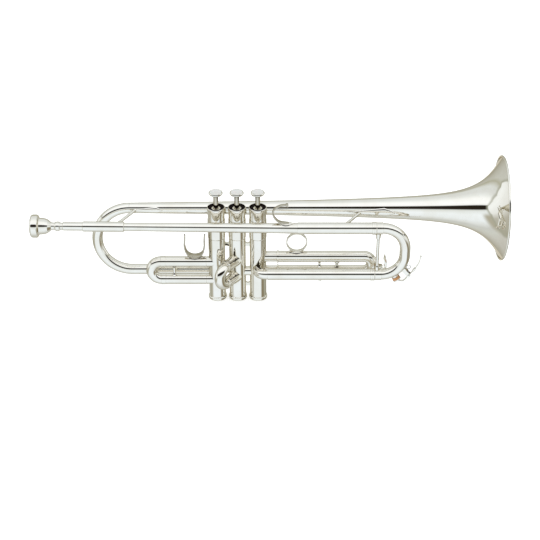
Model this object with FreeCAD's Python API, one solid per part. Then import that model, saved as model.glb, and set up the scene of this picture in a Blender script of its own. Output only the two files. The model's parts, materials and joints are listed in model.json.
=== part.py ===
"""A three-valve trumpet, modelled in millimetres.

Frame: +X towards the bell, +Z up along the valves, -Y towards the leadpipe side.
Origin: centre of the flat bottom face of the middle valve's bottom cap.
"""
import FreeCAD, Part
import math
import os

Vec = FreeCAD.Vector
X_AXIS = Vec(1, 0, 0)
Y_AXIS = Vec(0, 1, 0)
Z_AXIS = Vec(0, 0, 1)

# ---- driving dimensions ------------------------------------------------------------------
# valves
VALVE_PITCH = 24.2
VALVE_X = (-VALVE_PITCH, 0.0, VALVE_PITCH)
STROKE = 16.5
CASING_R = 9.8
CASING_BORE_R = 8.6
UPPER_CASING_R = 10.2
UPPER_BORE_R = 8.9
NECK_R = 9.35
CASING_SEAM_Z = 83.0
CAP_SKIRT_Z = 106.3
CAP_TOP_Z = 121.9
RECESS_TOP_Z = 120.6
CASING_BOTTOM_Z = 4.6
CAP_FLOOR = 1.6
RUNNING_GAP = 0.05
PASSAGE_R = 4.6
PASSAGE_WALL = 0.4
PISTON_R = CASING_BORE_R - RUNNING_GAP
PISTON_BOTTOM_Z = 21.9
PORT_BODY_TOP_Z = 80.0
BARREL_R = 7.4
BARREL_WALL = 1.0
BARREL_TOP_Z = 113.5
STEM_R = 2.85
BUTTON_BOTTOM_Z = 137.3
BUTTON_R = 8.2
BUTTON_TOP_Z = 141.5
PEARL_R = 6.9

# the long tubes: their height, their side of the valves and their radii
TUBE_WALL = 0.5
BELL_Y = 21.0
BELL_Z = 109.5
LEAD_Y = -21.0
LEAD_Z = 105.1
LEAD_RISE_DEG = 0.57
RETURN_Z = 43.7
BOW_Y = 15.0
BOW_Z = 29.9
BOW_R = 6.2
TAIL_BEND_R = 8.0

# bell
BELL_RIM_X = 310.6
BELL_LENGTH = 437.1
BELL_BACK_X = BELL_RIM_X - BELL_LENGTH
BELL_RINGS = 16
BELL_SEAM_X = 232.0
STEM_RINGS = 24
BELL_WALL = 0.5
RIM_WIRE_R = 1.2

# mouthpiece and leadpipe
RIM_X = -236.7
MOUTHPIECE_RIM_R = 13.4
CUP_RIM_R = 8.4
THROAT_R = 1.83
THROAT_X = -216.0
SHANK_TIP_X = -150.0
RECEIVER_BACK_X = -176.5
RECEIVER_FRONT_X = -129.4
RECEIVER_R = 5.95
SHANK_R = 4.9
SHANK_TIP_R = 4.2
LEADPIPE_START_R = 4.8
LEADPIPE_END_R = 6.2
SLIDE_TUBE_X = 69.9

# main tuning slide
SLIDE_OUTER_R = 6.8
SLIDE_INNER_R = 6.2
SLIDE_MOUTH_X = 158.4
RETURN_START_X = 35.7
INLET_BEND_R = 9.0
FERRULE_END_X = 168.3
FERRULE_R = 7.3
TUNING_BEND_R = 26.8
CROOK_R = 6.25
TUNING_BRACE_X = 163.4

# first slide
FIRST_Y = -3.0
FIRST_TOP_Z = 50.6
FIRST_LOW_Z = 27.0
FIRST_FREE_X = -37.0
FIRST_CROOK_X = -90.3
FIRST_INNER_R = 5.75
FIRST_OUTER_R = 6.4

# second slide, leaving the middle valve at an angle to the leadpipe side
SECOND_TURN_DEG = 33.5
SECOND_OFFSET = 1.4
SECOND_TOP_Z = 54.6
SECOND_LOW_Z = 32.6
SECOND_SLEEVE_END = 22.0
SECOND_CROOK_START = 27.2
SECOND_OUTER_R = 6.6
SECOND_INNER_R = 6.0

# third slide
THIRD_TOP_Z = 55.9
THIRD_LOW_Z = 36.5
THIRD_FREE_X = 46.8
THIRD_CROOK_X = 149.2
THIRD_OUTER_R = 6.7
THIRD_INNER_R = 6.2
KNUCKLE_23_Z = 36.3
KNUCKLE_12_Z = 40.0
KNUCKLE_R = 5.6
BRIDGE_HEIGHTS = (19.0, 73.0)

PARTS_DIR = "parts"


# ---- helpers -----------------------------------------------------------------------------
def rod(start, end, radius):
    """A solid cylinder between two points."""
    span = end - start
    return Part.makeCylinder(radius, span.Length, start, span)


def cone(start, end, start_r, end_r):
    """A solid truncated cone between two points."""
    span = end - start
    return Part.makeCone(start_r, end_r, span.Length, start, span)


def tube(start, end, outer_r, inner_r):
    """A straight hollow tube between two points."""
    return rod(start, end, outer_r).cut(rod(start, end, inner_r))


def turned(profile, base, axis):
    """Revolve a closed outline of (distance along axis, radius) pairs about an axis line."""
    side = Y_AXIS if abs(axis.dot(Y_AXIS)) < 0.9 else Z_AXIS
    radial = axis.cross(side).normalize()
    points = [base + axis * along + radial * radius for along, radius in profile]
    face = Part.Face(Part.makePolygon(points + [points[0]]))
    return face.revolve(base, axis, 360)


def fuse(shapes):
    """Join shapes that touch or overlap into one clean solid."""
    joined = shapes[0]
    for shape in shapes[1:]:
        joined = joined.fuse(shape)
    return joined.removeSplitter()


def bent_rod(points, bend_radii, radius):
    """A solid round bar along straight runs joined by tangent arcs."""
    pieces = []
    start = points[0]
    for index, bend_r in enumerate(bend_radii):
        corner = points[index + 1]
        into = (corner - start).normalize()
        out = (points[index + 2] - corner).normalize()
        turn = into.getAngle(out)
        setback = bend_r * math.tan(turn / 2)
        arc_start = corner - into * setback
        arc_axis = into.cross(out).normalize()
        centre = arc_start + arc_axis.cross(into) * bend_r
        if (arc_start - start).Length > 1e-6:
            pieces.append(rod(start, arc_start, radius))
        section = Part.Face(Part.Wire(Part.Circle(arc_start, into, radius).toShape()))
        pieces.append(section.revolve(centre, arc_axis, math.degrees(turn)))
        start = corner + out * setback
    if (points[-1] - start).Length > 1e-6:
        pieces.append(rod(start, points[-1], radius))
    return fuse(pieces)


def bent_tube(points, bend_radii, outer_r, inner_r):
    """A round tube along straight runs joined by tangent arcs."""
    outer = bent_rod(points, bend_radii, outer_r)
    return outer.cut(bent_rod(points, bend_radii, inner_r))


def ribbon_xz(points, thickness, y_low, y_high):
    """A flat strip whose edge follows a smooth curve in XZ, as wide as y_low to y_high."""
    curve = Part.BSplineCurve()
    curve.interpolate([Vec(x, y_low, z) for x, z in points])
    samples = 24
    sides = ([], [])
    for step in range(samples + 1):
        spot = curve.FirstParameter + (curve.LastParameter - curve.FirstParameter) * step / samples
        along = curve.tangent(spot)[0]
        across = along.cross(Y_AXIS).normalize() * (thickness / 2)
        sides[0].append(curve.value(spot) + across)
        sides[1].append(curve.value(spot) - across)
    edges = []
    for side in sides:
        edge_curve = Part.BSplineCurve()
        edge_curve.interpolate(side)
        edges.append(edge_curve.toShape())
    edges.append(Part.makeLine(sides[0][0], sides[1][0]))
    edges.append(Part.makeLine(sides[0][-1], sides[1][-1]))
    outline = Part.Wire(Part.__sortEdges__(edges))
    return Part.Face(outline).extrude(Vec(0, y_high - y_low, 0))


def prism_xz(outline, y_low, y_high):
    """Extrude a closed (x, z) polygon along Y."""
    points = [Vec(x, y_low, z) for x, z in outline]
    face = Part.Face(Part.makePolygon(points + [points[0]]))
    return face.extrude(Vec(0, y_high - y_low, 0))


def casing_plug(index, radius=CASING_R):
    """The cylinder that a valve casing fills, for trimming the tubes that meet it."""
    low = Vec(VALVE_X[index], 0, -5)
    return rod(low, low + Z_AXIS * 160, radius)


def leaf_foot(centre_x, length, half_height, base_y, base_z, tube_r, side):
    """A diamond-shaped leaf wrapped on one side of a tube that runs along X."""
    thick = 0.8
    start = Vec(centre_x - length / 2, base_y, base_z)
    end = Vec(centre_x + length / 2, base_y, base_z)
    wrap = tube(start, end, tube_r + thick, tube_r)
    reach = tube_r + thick + 1
    y_far = base_y + side * reach
    outline = ((centre_x - length / 2, base_z), (centre_x, base_z + half_height),
               (centre_x + length / 2, base_z), (centre_x, base_z - half_height))
    return wrap.common(prism_xz(outline, min(base_y, y_far), max(base_y, y_far)))


# ---- mouthpiece --------------------------------------------------------------------------
LEAD_RISE = math.radians(LEAD_RISE_DEG)
LEAD_AXIS = Vec(math.cos(LEAD_RISE), 0, -math.sin(LEAD_RISE))
LEAD_BASE = Vec(SLIDE_TUBE_X, LEAD_Y, LEAD_Z) - LEAD_AXIS * SLIDE_TUBE_X


def lead_point(along):
    """A point on the leadpipe's axis, which rises a little from the tuning slide to the player."""
    return LEAD_BASE + LEAD_AXIS * along


def lead_rod(start, end, radius):
    """A solid cylinder on the leadpipe's axis."""
    return rod(lead_point(start), lead_point(end), radius)


def mouthpiece():
    """Turned mouthpiece: rim, cup, throat and a tapered shank with a flared backbore."""
    tip = SHANK_TIP_X
    outside = [(RIM_X, 9.9), (RIM_X + 0.3, 11.2), (RIM_X + 0.9, 12.3), (RIM_X + 1.8, 13.1),
               (RIM_X + 2.8, MOUTHPIECE_RIM_R), (-229.0, MOUTHPIECE_RIM_R), (-228.0, 12.9), (-227.3, 11.6),
               (-226.6, 9.8),
               (-222.6, 9.5), (-219.6, 9.0), (-216.6, 7.8), (-214.4, 6.0), (-212.7, 4.5), (-209.4, 4.2),
               (-208.2, 4.9), (-206.9, 5.5), (-204.4, 5.5), (-203.1, 4.9), (-202.0, 4.2), (-200.0, 4.2),
               (-199.2, SHANK_R), (RECEIVER_BACK_X, SHANK_R), (tip, SHANK_TIP_R)]
    inside = [(tip, 3.6), (-205.0, THROAT_R), (THROAT_X, THROAT_R), (-219.0, 3.6),
              (-223.5, 5.9), (-229.0, 7.5), (-233.2, CUP_RIM_R - 0.3), (RIM_X + 1.7, CUP_RIM_R),
              (RIM_X + 0.5, 8.9)]
    return turned(outside + inside, LEAD_BASE, LEAD_AXIS)


# ---- leadpipe side -----------------------------------------------------------------------
def mouthpiece_receiver():
    """Sleeve at the leadpipe's end whose tapered socket holds the mouthpiece shank."""
    gap = RUNNING_GAP
    seat_end = SHANK_TIP_X + 2
    seat_slope = (SHANK_R - SHANK_TIP_R) / (SHANK_TIP_X - RECEIVER_BACK_X)
    seat_end_r = SHANK_TIP_R - 2 * seat_slope + gap
    profile = [(RECEIVER_BACK_X, SHANK_R + gap), (RECEIVER_BACK_X, RECEIVER_R - 0.3),
               (RECEIVER_BACK_X + 0.3, RECEIVER_R), (RECEIVER_FRONT_X - 0.3, RECEIVER_R),
               (RECEIVER_FRONT_X, RECEIVER_R - 0.3), (RECEIVER_FRONT_X, LEADPIPE_START_R),
               (seat_end + 2, LEADPIPE_START_R), (seat_end + 2, seat_end_r), (seat_end, seat_end_r)]
    return turned(profile, LEAD_BASE, LEAD_AXIS)


def leadpipe():
    """Thin pipe that widens steadily from the receiver to the tuning slide."""
    start = SHANK_TIP_X + 4
    step = RECEIVER_FRONT_X
    profile = [(start, LEADPIPE_START_R), (step, LEADPIPE_START_R), (SLIDE_TUBE_X, LEADPIPE_END_R),
               (SLIDE_TUBE_X, LEADPIPE_END_R - TUBE_WALL), (start, LEADPIPE_START_R - TUBE_WALL)]
    pipe = turned(profile, LEAD_BASE, LEAD_AXIS)
    return pipe.cut(rod(Vec(SLIDE_TUBE_X, LEAD_Y, LEAD_Z), Vec(SLIDE_TUBE_X + 5, LEAD_Y, LEAD_Z), 9))


def ringed_tube(start_x, end_x, y, z, outer_r, inner_r, ring_r, ring_len, ring_starts):
    """A tube along X with raised rings where it starts or ends."""
    solid = tube(Vec(start_x, y, z), Vec(end_x, y, z), outer_r, inner_r)
    for ring_x in ring_starts:
        ring = tube(Vec(ring_x, y, z), Vec(ring_x + ring_len, y, z), ring_r, inner_r)
        solid = solid.fuse(ring)
    return solid.removeSplitter()


def upper_slide_tube():
    """Outer tube that holds the tuning slide's upper leg."""
    ring_len = 2.2
    return ringed_tube(SLIDE_TUBE_X, SLIDE_MOUTH_X, LEAD_Y, LEAD_Z, SLIDE_OUTER_R, SLIDE_INNER_R,
                       FERRULE_R, ring_len, (SLIDE_MOUTH_X - ring_len,))


def lower_slide_tube():
    """Outer tube that holds the tuning slide's lower leg, with its small drip nipple."""
    ring_len = 2.2
    body = ringed_tube(RETURN_START_X, SLIDE_MOUTH_X, LEAD_Y, RETURN_Z, SLIDE_OUTER_R,
                       SLIDE_INNER_R, FERRULE_R, ring_len, (SLIDE_MOUTH_X - ring_len,))
    bump_top = Vec(97, LEAD_Y, RETURN_Z - SLIDE_INNER_R - 0.3)
    return body.fuse(rod(bump_top, bump_top - Z_AXIS * 1.4, 1.8))


def inlet_elbow():
    """Bent tube from the lower slide tube into the front of the third valve."""
    valve_x = VALVE_X[2]
    points = [Vec(RETURN_START_X, LEAD_Y, RETURN_Z), Vec(valve_x, LEAD_Y, RETURN_Z),
              Vec(valve_x, -4, RETURN_Z)]
    elbow = bent_tube(points, [INLET_BEND_R], SLIDE_INNER_R, SLIDE_INNER_R - TUBE_WALL)
    return elbow.cut(casing_plug(2))


# ---- bell side ---------------------------------------------------------------------------
def bell_radius(back):
    """Outer radius at a distance behind the rim: a horn curve, a flare and a slim tail."""
    horn = 431.7 * (back + 57.0) ** -0.6756
    flare = 33.2 * math.exp(-back / 20.2)
    return horn + flare - 0.33 * (back / BELL_LENGTH) ** 4


def bell_outline():
    """Points on the bell's outside, closer together towards the rim."""
    backs = [BELL_LENGTH * (step / BELL_RINGS) ** 2.2 for step in range(BELL_RINGS + 1)]
    return [(back, bell_radius(back)) for back in backs]


def bell_shell():
    """The bell's thin wall from the bow to the rim."""
    outer = Part.BSplineCurve()
    outer.interpolate([Vec(BELL_RIM_X - back, BELL_Y, BELL_Z + radius) for back, radius in bell_outline()])
    inner_points = []
    for back, radius in bell_outline():
        spot = outer.parameter(Vec(BELL_RIM_X - back, BELL_Y, BELL_Z + radius))
        inward = outer.tangent(spot)[0].cross(Y_AXIS).normalize()
        if inward.z > 0:
            inward = inward * -1
        inner_points.append(outer.value(spot) + inward * BELL_WALL)
    inner_points[-1].x = BELL_BACK_X
    inner = Part.BSplineCurve()
    inner.interpolate(inner_points)
    ends = [Part.makeLine(outer.StartPoint, inner.StartPoint), Part.makeLine(outer.EndPoint, inner.EndPoint)]
    outline = Part.Wire(Part.__sortEdges__([outer.toShape(), inner.toShape()] + ends))
    return Part.Face(outline).revolve(Vec(0, BELL_Y, BELL_Z), X_AXIS, 360)


def bell_axis_rod(start_x, end_x, radius):
    """A solid cylinder on the bell's axis."""
    return rod(Vec(start_x, BELL_Y, BELL_Z), Vec(end_x, BELL_Y, BELL_Z), radius)


def stem_outline(offset):
    """Points along the stem, at an offset from the bell's outside."""
    seam_back = BELL_RIM_X - BELL_SEAM_X
    backs = [seam_back + (BELL_LENGTH - seam_back) * step / STEM_RINGS for step in range(STEM_RINGS + 1)]
    return [(BELL_RIM_X - back, bell_radius(back) + offset) for back in backs]


def bell_stem():
    """The long slim part of the bell, a run of short cones from the seam back to the bow."""
    outline = stem_outline(0.0) + stem_outline(-BELL_WALL)[::-1]
    return turned(outline, Vec(0, BELL_Y, BELL_Z), X_AXIS)


def bell_flare():
    """The flared part of the bell, from the seam to the wire rolled into its rim."""
    horn = bell_shell().common(bell_axis_rod(BELL_SEAM_X, BELL_RIM_X + 1, 80))
    rim_r = bell_radius(0) - 0.6
    rim = Part.makeTorus(rim_r, RIM_WIRE_R, Vec(BELL_RIM_X - 0.9, BELL_Y, BELL_Z), X_AXIS)
    return horn.fuse(rim)


def bell_bow():
    """Half circle behind the bell, the straight leg under it and the elbow into valve one."""
    valve_x = VALVE_X[0]
    top = Vec(BELL_BACK_X, BELL_Y, BELL_Z)
    low = Vec(BELL_BACK_X, BOW_Y, BOW_Z)
    centre = (top + low) * 0.5
    lean = (top - low).normalize()
    axis = X_AXIS.cross(lean)
    shells = []
    for radius in (BOW_R, BOW_R - TUBE_WALL):
        section = Part.Face(Part.Wire(Part.Circle(top, X_AXIS, radius).toShape()))
        shells.append(section.revolve(centre, axis, 180))
    bow = shells[0].cut(shells[1])
    tail_points = [low, Vec(valve_x, BOW_Y, BOW_Z), Vec(valve_x, 4, BOW_Z)]
    tail = bent_tube(tail_points, [TAIL_BEND_R], BOW_R, BOW_R - TUBE_WALL)
    return fuse([bow, tail]).cut(casing_plug(0))


# ---- valves ------------------------------------------------------------------------------
# each port is (direction in degrees from +X, height); a passage joins two of them
SECOND_DIR_DEG = -90.0 - SECOND_TURN_DEG
CASING_PORTS = (
    ((0.0, KNUCKLE_12_Z), (90.0, BOW_Z), (180.0, FIRST_TOP_Z), (180.0, FIRST_LOW_Z)),
    ((0.0, KNUCKLE_23_Z), (180.0, KNUCKLE_12_Z), (SECOND_DIR_DEG, SECOND_TOP_Z),
     (SECOND_DIR_DEG, SECOND_LOW_Z)),
    ((-90.0, RETURN_Z), (180.0, KNUCKLE_23_Z), (0.0, THIRD_TOP_Z), (0.0, THIRD_LOW_Z)))
PASSAGES = (
    (((0.0, KNUCKLE_12_Z), (90.0, BOW_Z)),
     ((0.0, KNUCKLE_12_Z + STROKE), (180.0, FIRST_TOP_Z + STROKE)),
     ((180.0, FIRST_LOW_Z + STROKE), (90.0, BOW_Z + STROKE))),
    (((0.0, KNUCKLE_23_Z), (180.0, KNUCKLE_12_Z)),
     ((0.0, KNUCKLE_23_Z + STROKE), (SECOND_DIR_DEG, SECOND_LOW_Z + STROKE)),
     ((SECOND_DIR_DEG, SECOND_TOP_Z + STROKE), (180.0, KNUCKLE_12_Z + STROKE))),
    (((-90.0, RETURN_Z), (180.0, KNUCKLE_23_Z)),
     ((-90.0, RETURN_Z + STROKE), (0.0, THIRD_TOP_Z + STROKE)),
     ((0.0, THIRD_LOW_Z + STROKE), (180.0, KNUCKLE_23_Z + STROKE))))
SECOND_SIDE = math.radians(SECOND_DIR_DEG + 90)
SECOND_SHIFT = Vec(SECOND_OFFSET * math.cos(SECOND_SIDE), SECOND_OFFSET * math.sin(SECOND_SIDE), 0)
PORT_SHIFT = {(0, 180.0): Vec(0, FIRST_Y, 0), (1, SECOND_DIR_DEG): SECOND_SHIFT}
GUIDE_Z = CASING_SEAM_Z
GUIDE_THICK = 2.0


def port_point(index, direction, height, distance):
    """A point at some distance from a valve's axis, towards a port."""
    angle = math.radians(direction)
    shift = PORT_SHIFT.get((index, direction), Vec(0, 0, 0))
    return shift + Vec(VALVE_X[index] + distance * math.cos(angle), distance * math.sin(angle), height)


def valve_casing(index):
    """Valve casing: lower bore, wider upper section, threaded necks and its four ports."""
    profile = [(1.6, CASING_BORE_R), (1.6, NECK_R), (CASING_BOTTOM_Z, NECK_R), (CASING_BOTTOM_Z, CASING_R),
               (CASING_SEAM_Z - 1, CASING_R), (CASING_SEAM_Z, UPPER_CASING_R),
               (CAP_SKIRT_Z, UPPER_CASING_R), (CAP_SKIRT_Z, NECK_R), (116, NECK_R),
               (116, UPPER_BORE_R), (GUIDE_Z, UPPER_BORE_R), (GUIDE_Z, CASING_BORE_R)]
    casing = turned(profile, Vec(VALVE_X[index], 0, 0), Z_AXIS)
    for direction, height in CASING_PORTS[index]:
        inside = port_point(index, direction, height, 0.5)
        casing = casing.cut(rod(inside, port_point(index, direction, height, 14), PASSAGE_R))
    return casing


def valve_knuckles():
    """The two short tubes that carry the air from one valve to the next."""
    knuckles = []
    for left, height in ((0, KNUCKLE_12_Z), (1, KNUCKLE_23_Z)):
        run = tube(Vec(VALVE_X[left], 0, height), Vec(VALVE_X[left + 1], 0, height), KNUCKLE_R,
                   KNUCKLE_R - TUBE_WALL)
        knuckles.append(run.cut(casing_plug(left)).cut(casing_plug(left + 1)))
    return Part.makeCompound(knuckles)


def casing_bridges():
    """Flat struts soldered between neighbouring casings, high and low."""
    struts = []
    tall = 4.8
    for left in (0, 1):
        middle_x = (VALVE_X[left] + VALVE_X[left + 1]) / 2
        for height in BRIDGE_HEIGHTS:
            strut = Part.makeBox(6, 3, tall, Vec(middle_x - 3, -1.5, height - tall / 2))
            waist = rod(Vec(middle_x, -2, height + 3.5), Vec(middle_x, 2, height + 3.5), 2.2)
            struts.append(strut.cut(waist).cut(casing_plug(left)).cut(casing_plug(left + 1)))
    return struts


def top_caps():
    """Screwed top caps, each with a recess for its felt and a collar round the stem."""
    profile = [(CAP_SKIRT_Z, NECK_R), (CAP_SKIRT_Z, 9.9), (117.6, 9.9), (118.2, 10.4),
               (CAP_TOP_Z - 0.5, 10.4), (CAP_TOP_Z, 10.1), (CAP_TOP_Z, 9.7), (118.8, 9.7),
               (118.8, 5.2), (RECESS_TOP_Z, 5.2), (RECESS_TOP_Z, STEM_R + 0.1),
               (116, STEM_R + 0.1), (116, NECK_R)]
    return Part.makeCompound([turned(profile, Vec(x, 0, 0), Z_AXIS) for x in VALVE_X])


def bottom_caps():
    """Screwed bottom caps with a flat base and a rounded edge."""
    profile = [(0, 0), (0, 9.9), (0.4, 10.5), (1.2, 10.8), (3.2, 10.8), (4.0, 10.5),
               (CASING_BOTTOM_Z, 10.0), (CASING_BOTTOM_Z, NECK_R), (CAP_FLOOR, NECK_R), (CAP_FLOOR, 0)]
    return Part.makeCompound([turned(profile, Vec(x, 0, 0), Z_AXIS) for x in VALVE_X])


def cap_felts():
    """Black felt rings: one in each cap's recess and one under each cap as the up-stop."""
    rings = []
    for x in VALVE_X:
        rings.append(tube(Vec(x, 0, 118.8), Vec(x, 0, RECESS_TOP_Z), 9.6, 5.3))
        rings.append(tube(Vec(x, 0, BARREL_TOP_Z), Vec(x, 0, 116), 8.2, STEM_R + 0.2))
    return Part.makeCompound(rings)


def valve_guides():
    """Discs with two ears that rest on the step in each casing and keep its piston in line."""
    guides = []
    for x in VALVE_X:
        disc = rod(Vec(x, 0, GUIDE_Z), Vec(x, 0, GUIDE_Z + GUIDE_THICK), 6.2)
        ears = Part.makeBox(2 * UPPER_BORE_R, 5, GUIDE_THICK, Vec(x - UPPER_BORE_R, -2.5, GUIDE_Z))
        round_off = rod(Vec(x, 0, GUIDE_Z), Vec(x, 0, GUIDE_Z + GUIDE_THICK), UPPER_BORE_R - 0.05)
        hole = rod(Vec(x, 0, GUIDE_Z), Vec(x, 0, GUIDE_Z + GUIDE_THICK), 1.5)
        guides.append(disc.fuse(ears).common(round_off).cut(hole))
    return Part.makeCompound(guides)


def passage(index, ports, radius):
    """The air passage through a piston between two ports, bent once near the axis."""
    (from_dir, from_z), (to_dir, to_z) = ports
    start = port_point(index, from_dir, from_z, PISTON_R + 3)
    end = port_point(index, to_dir, to_z, PISTON_R + 3)
    middle = Vec(VALVE_X[index], 0, (from_z + to_z) / 2)
    into = (middle - start).normalize()
    out = (end - middle).normalize()
    if into.getAngle(out) < math.radians(25):
        return rod(start, end, radius)
    return bent_rod([start, middle, end], [PASSAGE_R + 0.5], radius)


def piston(index):
    """Hollow piston with three air passages, and the slotted spring barrel above them."""
    axis_foot = Vec(VALVE_X[index], 0, 0)
    wall = 0.7
    body = turned([(PISTON_BOTTOM_Z, 0), (PISTON_BOTTOM_Z, PISTON_R), (PORT_BODY_TOP_Z, PISTON_R),
                   (PORT_BODY_TOP_Z, 0)], axis_foot, Z_AXIS)
    hollow = turned([(PISTON_BOTTOM_Z + 1.0, 0), (PISTON_BOTTOM_Z + 1.0, PISTON_R - wall),
                     (PORT_BODY_TOP_Z - 1.2, PISTON_R - wall), (PORT_BODY_TOP_Z - 1.2, 0)],
                    axis_foot, Z_AXIS)
    vent = rod(axis_foot + Z_AXIS * (PISTON_BOTTOM_Z - 1), axis_foot + Z_AXIS * (PISTON_BOTTOM_Z + 2), 2.5)
    for ports in PASSAGES[index]:
        hollow = hollow.cut(passage(index, ports, PASSAGE_R + PASSAGE_WALL))
    shell = body.cut(hollow).cut(vent)
    for ports in PASSAGES[index]:
        shell = shell.cut(passage(index, ports, PASSAGE_R))
    barrel = turned([(PORT_BODY_TOP_Z, BARREL_R - BARREL_WALL), (PORT_BODY_TOP_Z, BARREL_R),
                     (BARREL_TOP_Z, BARREL_R), (BARREL_TOP_Z, STEM_R),
                     (BARREL_TOP_Z - 2, STEM_R), (BARREL_TOP_Z - 2, BARREL_R - BARREL_WALL)],
                    axis_foot, Z_AXIS)
    slot_low = GUIDE_Z - 0.2
    slot_high = GUIDE_Z + GUIDE_THICK + STROKE + 0.5
    slot = Part.makeBox(2 * BARREL_R + 2, 5.4, slot_high - slot_low,
                        Vec(VALVE_X[index] - BARREL_R - 1, -2.7, slot_low))
    return shell.fuse(barrel.cut(slot)).removeSplitter()


def valve_stem(index):
    """Rod from the spring barrel to the finger button."""
    foot = Vec(VALVE_X[index], 0, BARREL_TOP_Z - 2)
    return rod(foot, Vec(VALVE_X[index], 0, BUTTON_BOTTOM_Z + 1), STEM_R)


def finger_button(index):
    """Turned button with a rounded edge and a shallow dish for its pearl."""
    low = BUTTON_BOTTOM_Z
    profile = [(low + 1, 0), (low + 1, STEM_R), (low, STEM_R), (low, 5.4), (low + 0.5, 6.7),
               (low + 1.3, 7.7), (low + 2.2, BUTTON_R), (low + 3.1, BUTTON_R), (BUTTON_TOP_Z - 0.3, 7.8),
               (BUTTON_TOP_Z, 7.3), (BUTTON_TOP_Z, PEARL_R), (BUTTON_TOP_Z - 0.9, PEARL_R),
               (BUTTON_TOP_Z - 0.9, 0)]
    return turned(profile, Vec(VALVE_X[index], 0, 0), Z_AXIS)


def button_pearl(index):
    """Mother-of-pearl disc that fills the button's dish, hollowed a little for the finger."""
    low = BUTTON_TOP_Z - 0.9
    profile = [(low, 0), (low, PEARL_R), (BUTTON_TOP_Z - 0.1, PEARL_R), (BUTTON_TOP_Z - 0.25, 4.5),
               (BUTTON_TOP_Z - 0.4, 0)]
    return turned(profile, Vec(VALVE_X[index], 0, 0), Z_AXIS)


def valve_spring(index):
    """Return spring between the fixed guide and the top of the piston's barrel."""
    wire_r = 0.45
    coil_r = 5.3
    low = GUIDE_Z + GUIDE_THICK + wire_r + 0.05
    high = BARREL_TOP_Z - 2 - wire_r - 0.05
    turns = 9
    helix = Part.makeHelix((high - low) / turns, high - low, coil_r)
    section = Part.Wire(Part.Circle(Vec(coil_r, 0, 0), Y_AXIS, wire_r).toShape())
    coil = Part.Wire(helix).makePipeShell([section], True, True)
    coil.translate(Vec(VALVE_X[index], 0, low))
    return coil


# ---- first slide -------------------------------------------------------------------------
def first_slide_stubs():
    """Fixed inner legs of the first slide, with a collar where each leaves valve one."""
    legs = []
    for z in (FIRST_TOP_Z, FIRST_LOW_Z):
        inside = Vec(VALVE_X[0], FIRST_Y, z)
        leg = rod(inside, Vec(-80, FIRST_Y, z), FIRST_INNER_R)
        collar = rod(inside, Vec(FIRST_FREE_X + 0.4, FIRST_Y, z), FIRST_OUTER_R - 0.1)
        bore = rod(inside, Vec(-81, FIRST_Y, z), FIRST_INNER_R - TUBE_WALL)
        legs.append(leg.fuse(collar).cut(bore).cut(casing_plug(0)).removeSplitter())
    return Part.makeCompound(legs)


def first_slide_tubes():
    """Moving outer tubes of the first slide, with a ferrule at the crook end of each."""
    bore_r = FIRST_INNER_R + RUNNING_GAP
    return Part.makeCompound([
        ringed_tube(FIRST_CROOK_X, FIRST_FREE_X, FIRST_Y, z, FIRST_OUTER_R, bore_r, 6.7, 5.0, (FIRST_CROOK_X,))
        for z in (FIRST_TOP_Z, FIRST_LOW_Z)])


def u_crook(start_x, y, top_z, low_z, sign, outer_r, inner_r):
    """A half-circle crook that joins two legs running along X; sign is the way it points."""
    bend_r = (top_z - low_z) / 2
    far_x = start_x + sign * bend_r
    points = [Vec(start_x, y, top_z), Vec(far_x, y, top_z), Vec(far_x, y, low_z), Vec(start_x, y, low_z)]
    return bent_tube(points, [bend_r, bend_r], outer_r, inner_r)


def first_slide_crook():
    """Half-circle crook of the first slide."""
    return u_crook(FIRST_CROOK_X, FIRST_Y, FIRST_TOP_Z, FIRST_LOW_Z, -1, 6.3, 5.8)


def slide_post(x, y, low_z, high_z, tube_r, foot_r, waist_r):
    """A turned post with flared feet between two parallel tubes that run along X."""
    low = low_z + tube_r - 0.6
    high = high_z - tube_r + 0.6
    profile = [(low, 0), (low, foot_r), (low + 1.1, foot_r * 0.66), (low + 2.6, waist_r),
               (high - 2.6, waist_r), (high - 1.1, foot_r * 0.66), (high, foot_r), (high, 0)]
    post = turned(profile, Vec(x, y, 0), Z_AXIS)
    for z in (low_z, high_z):
        post = post.cut(rod(Vec(x - 8, y, z), Vec(x + 8, y, z), tube_r))
    return post


def first_slide_brace():
    """Short post between the first slide's two tubes."""
    return slide_post(-75.0, FIRST_Y, FIRST_LOW_Z, FIRST_TOP_Z, FIRST_OUTER_R, 3.6, 1.6)


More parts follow.
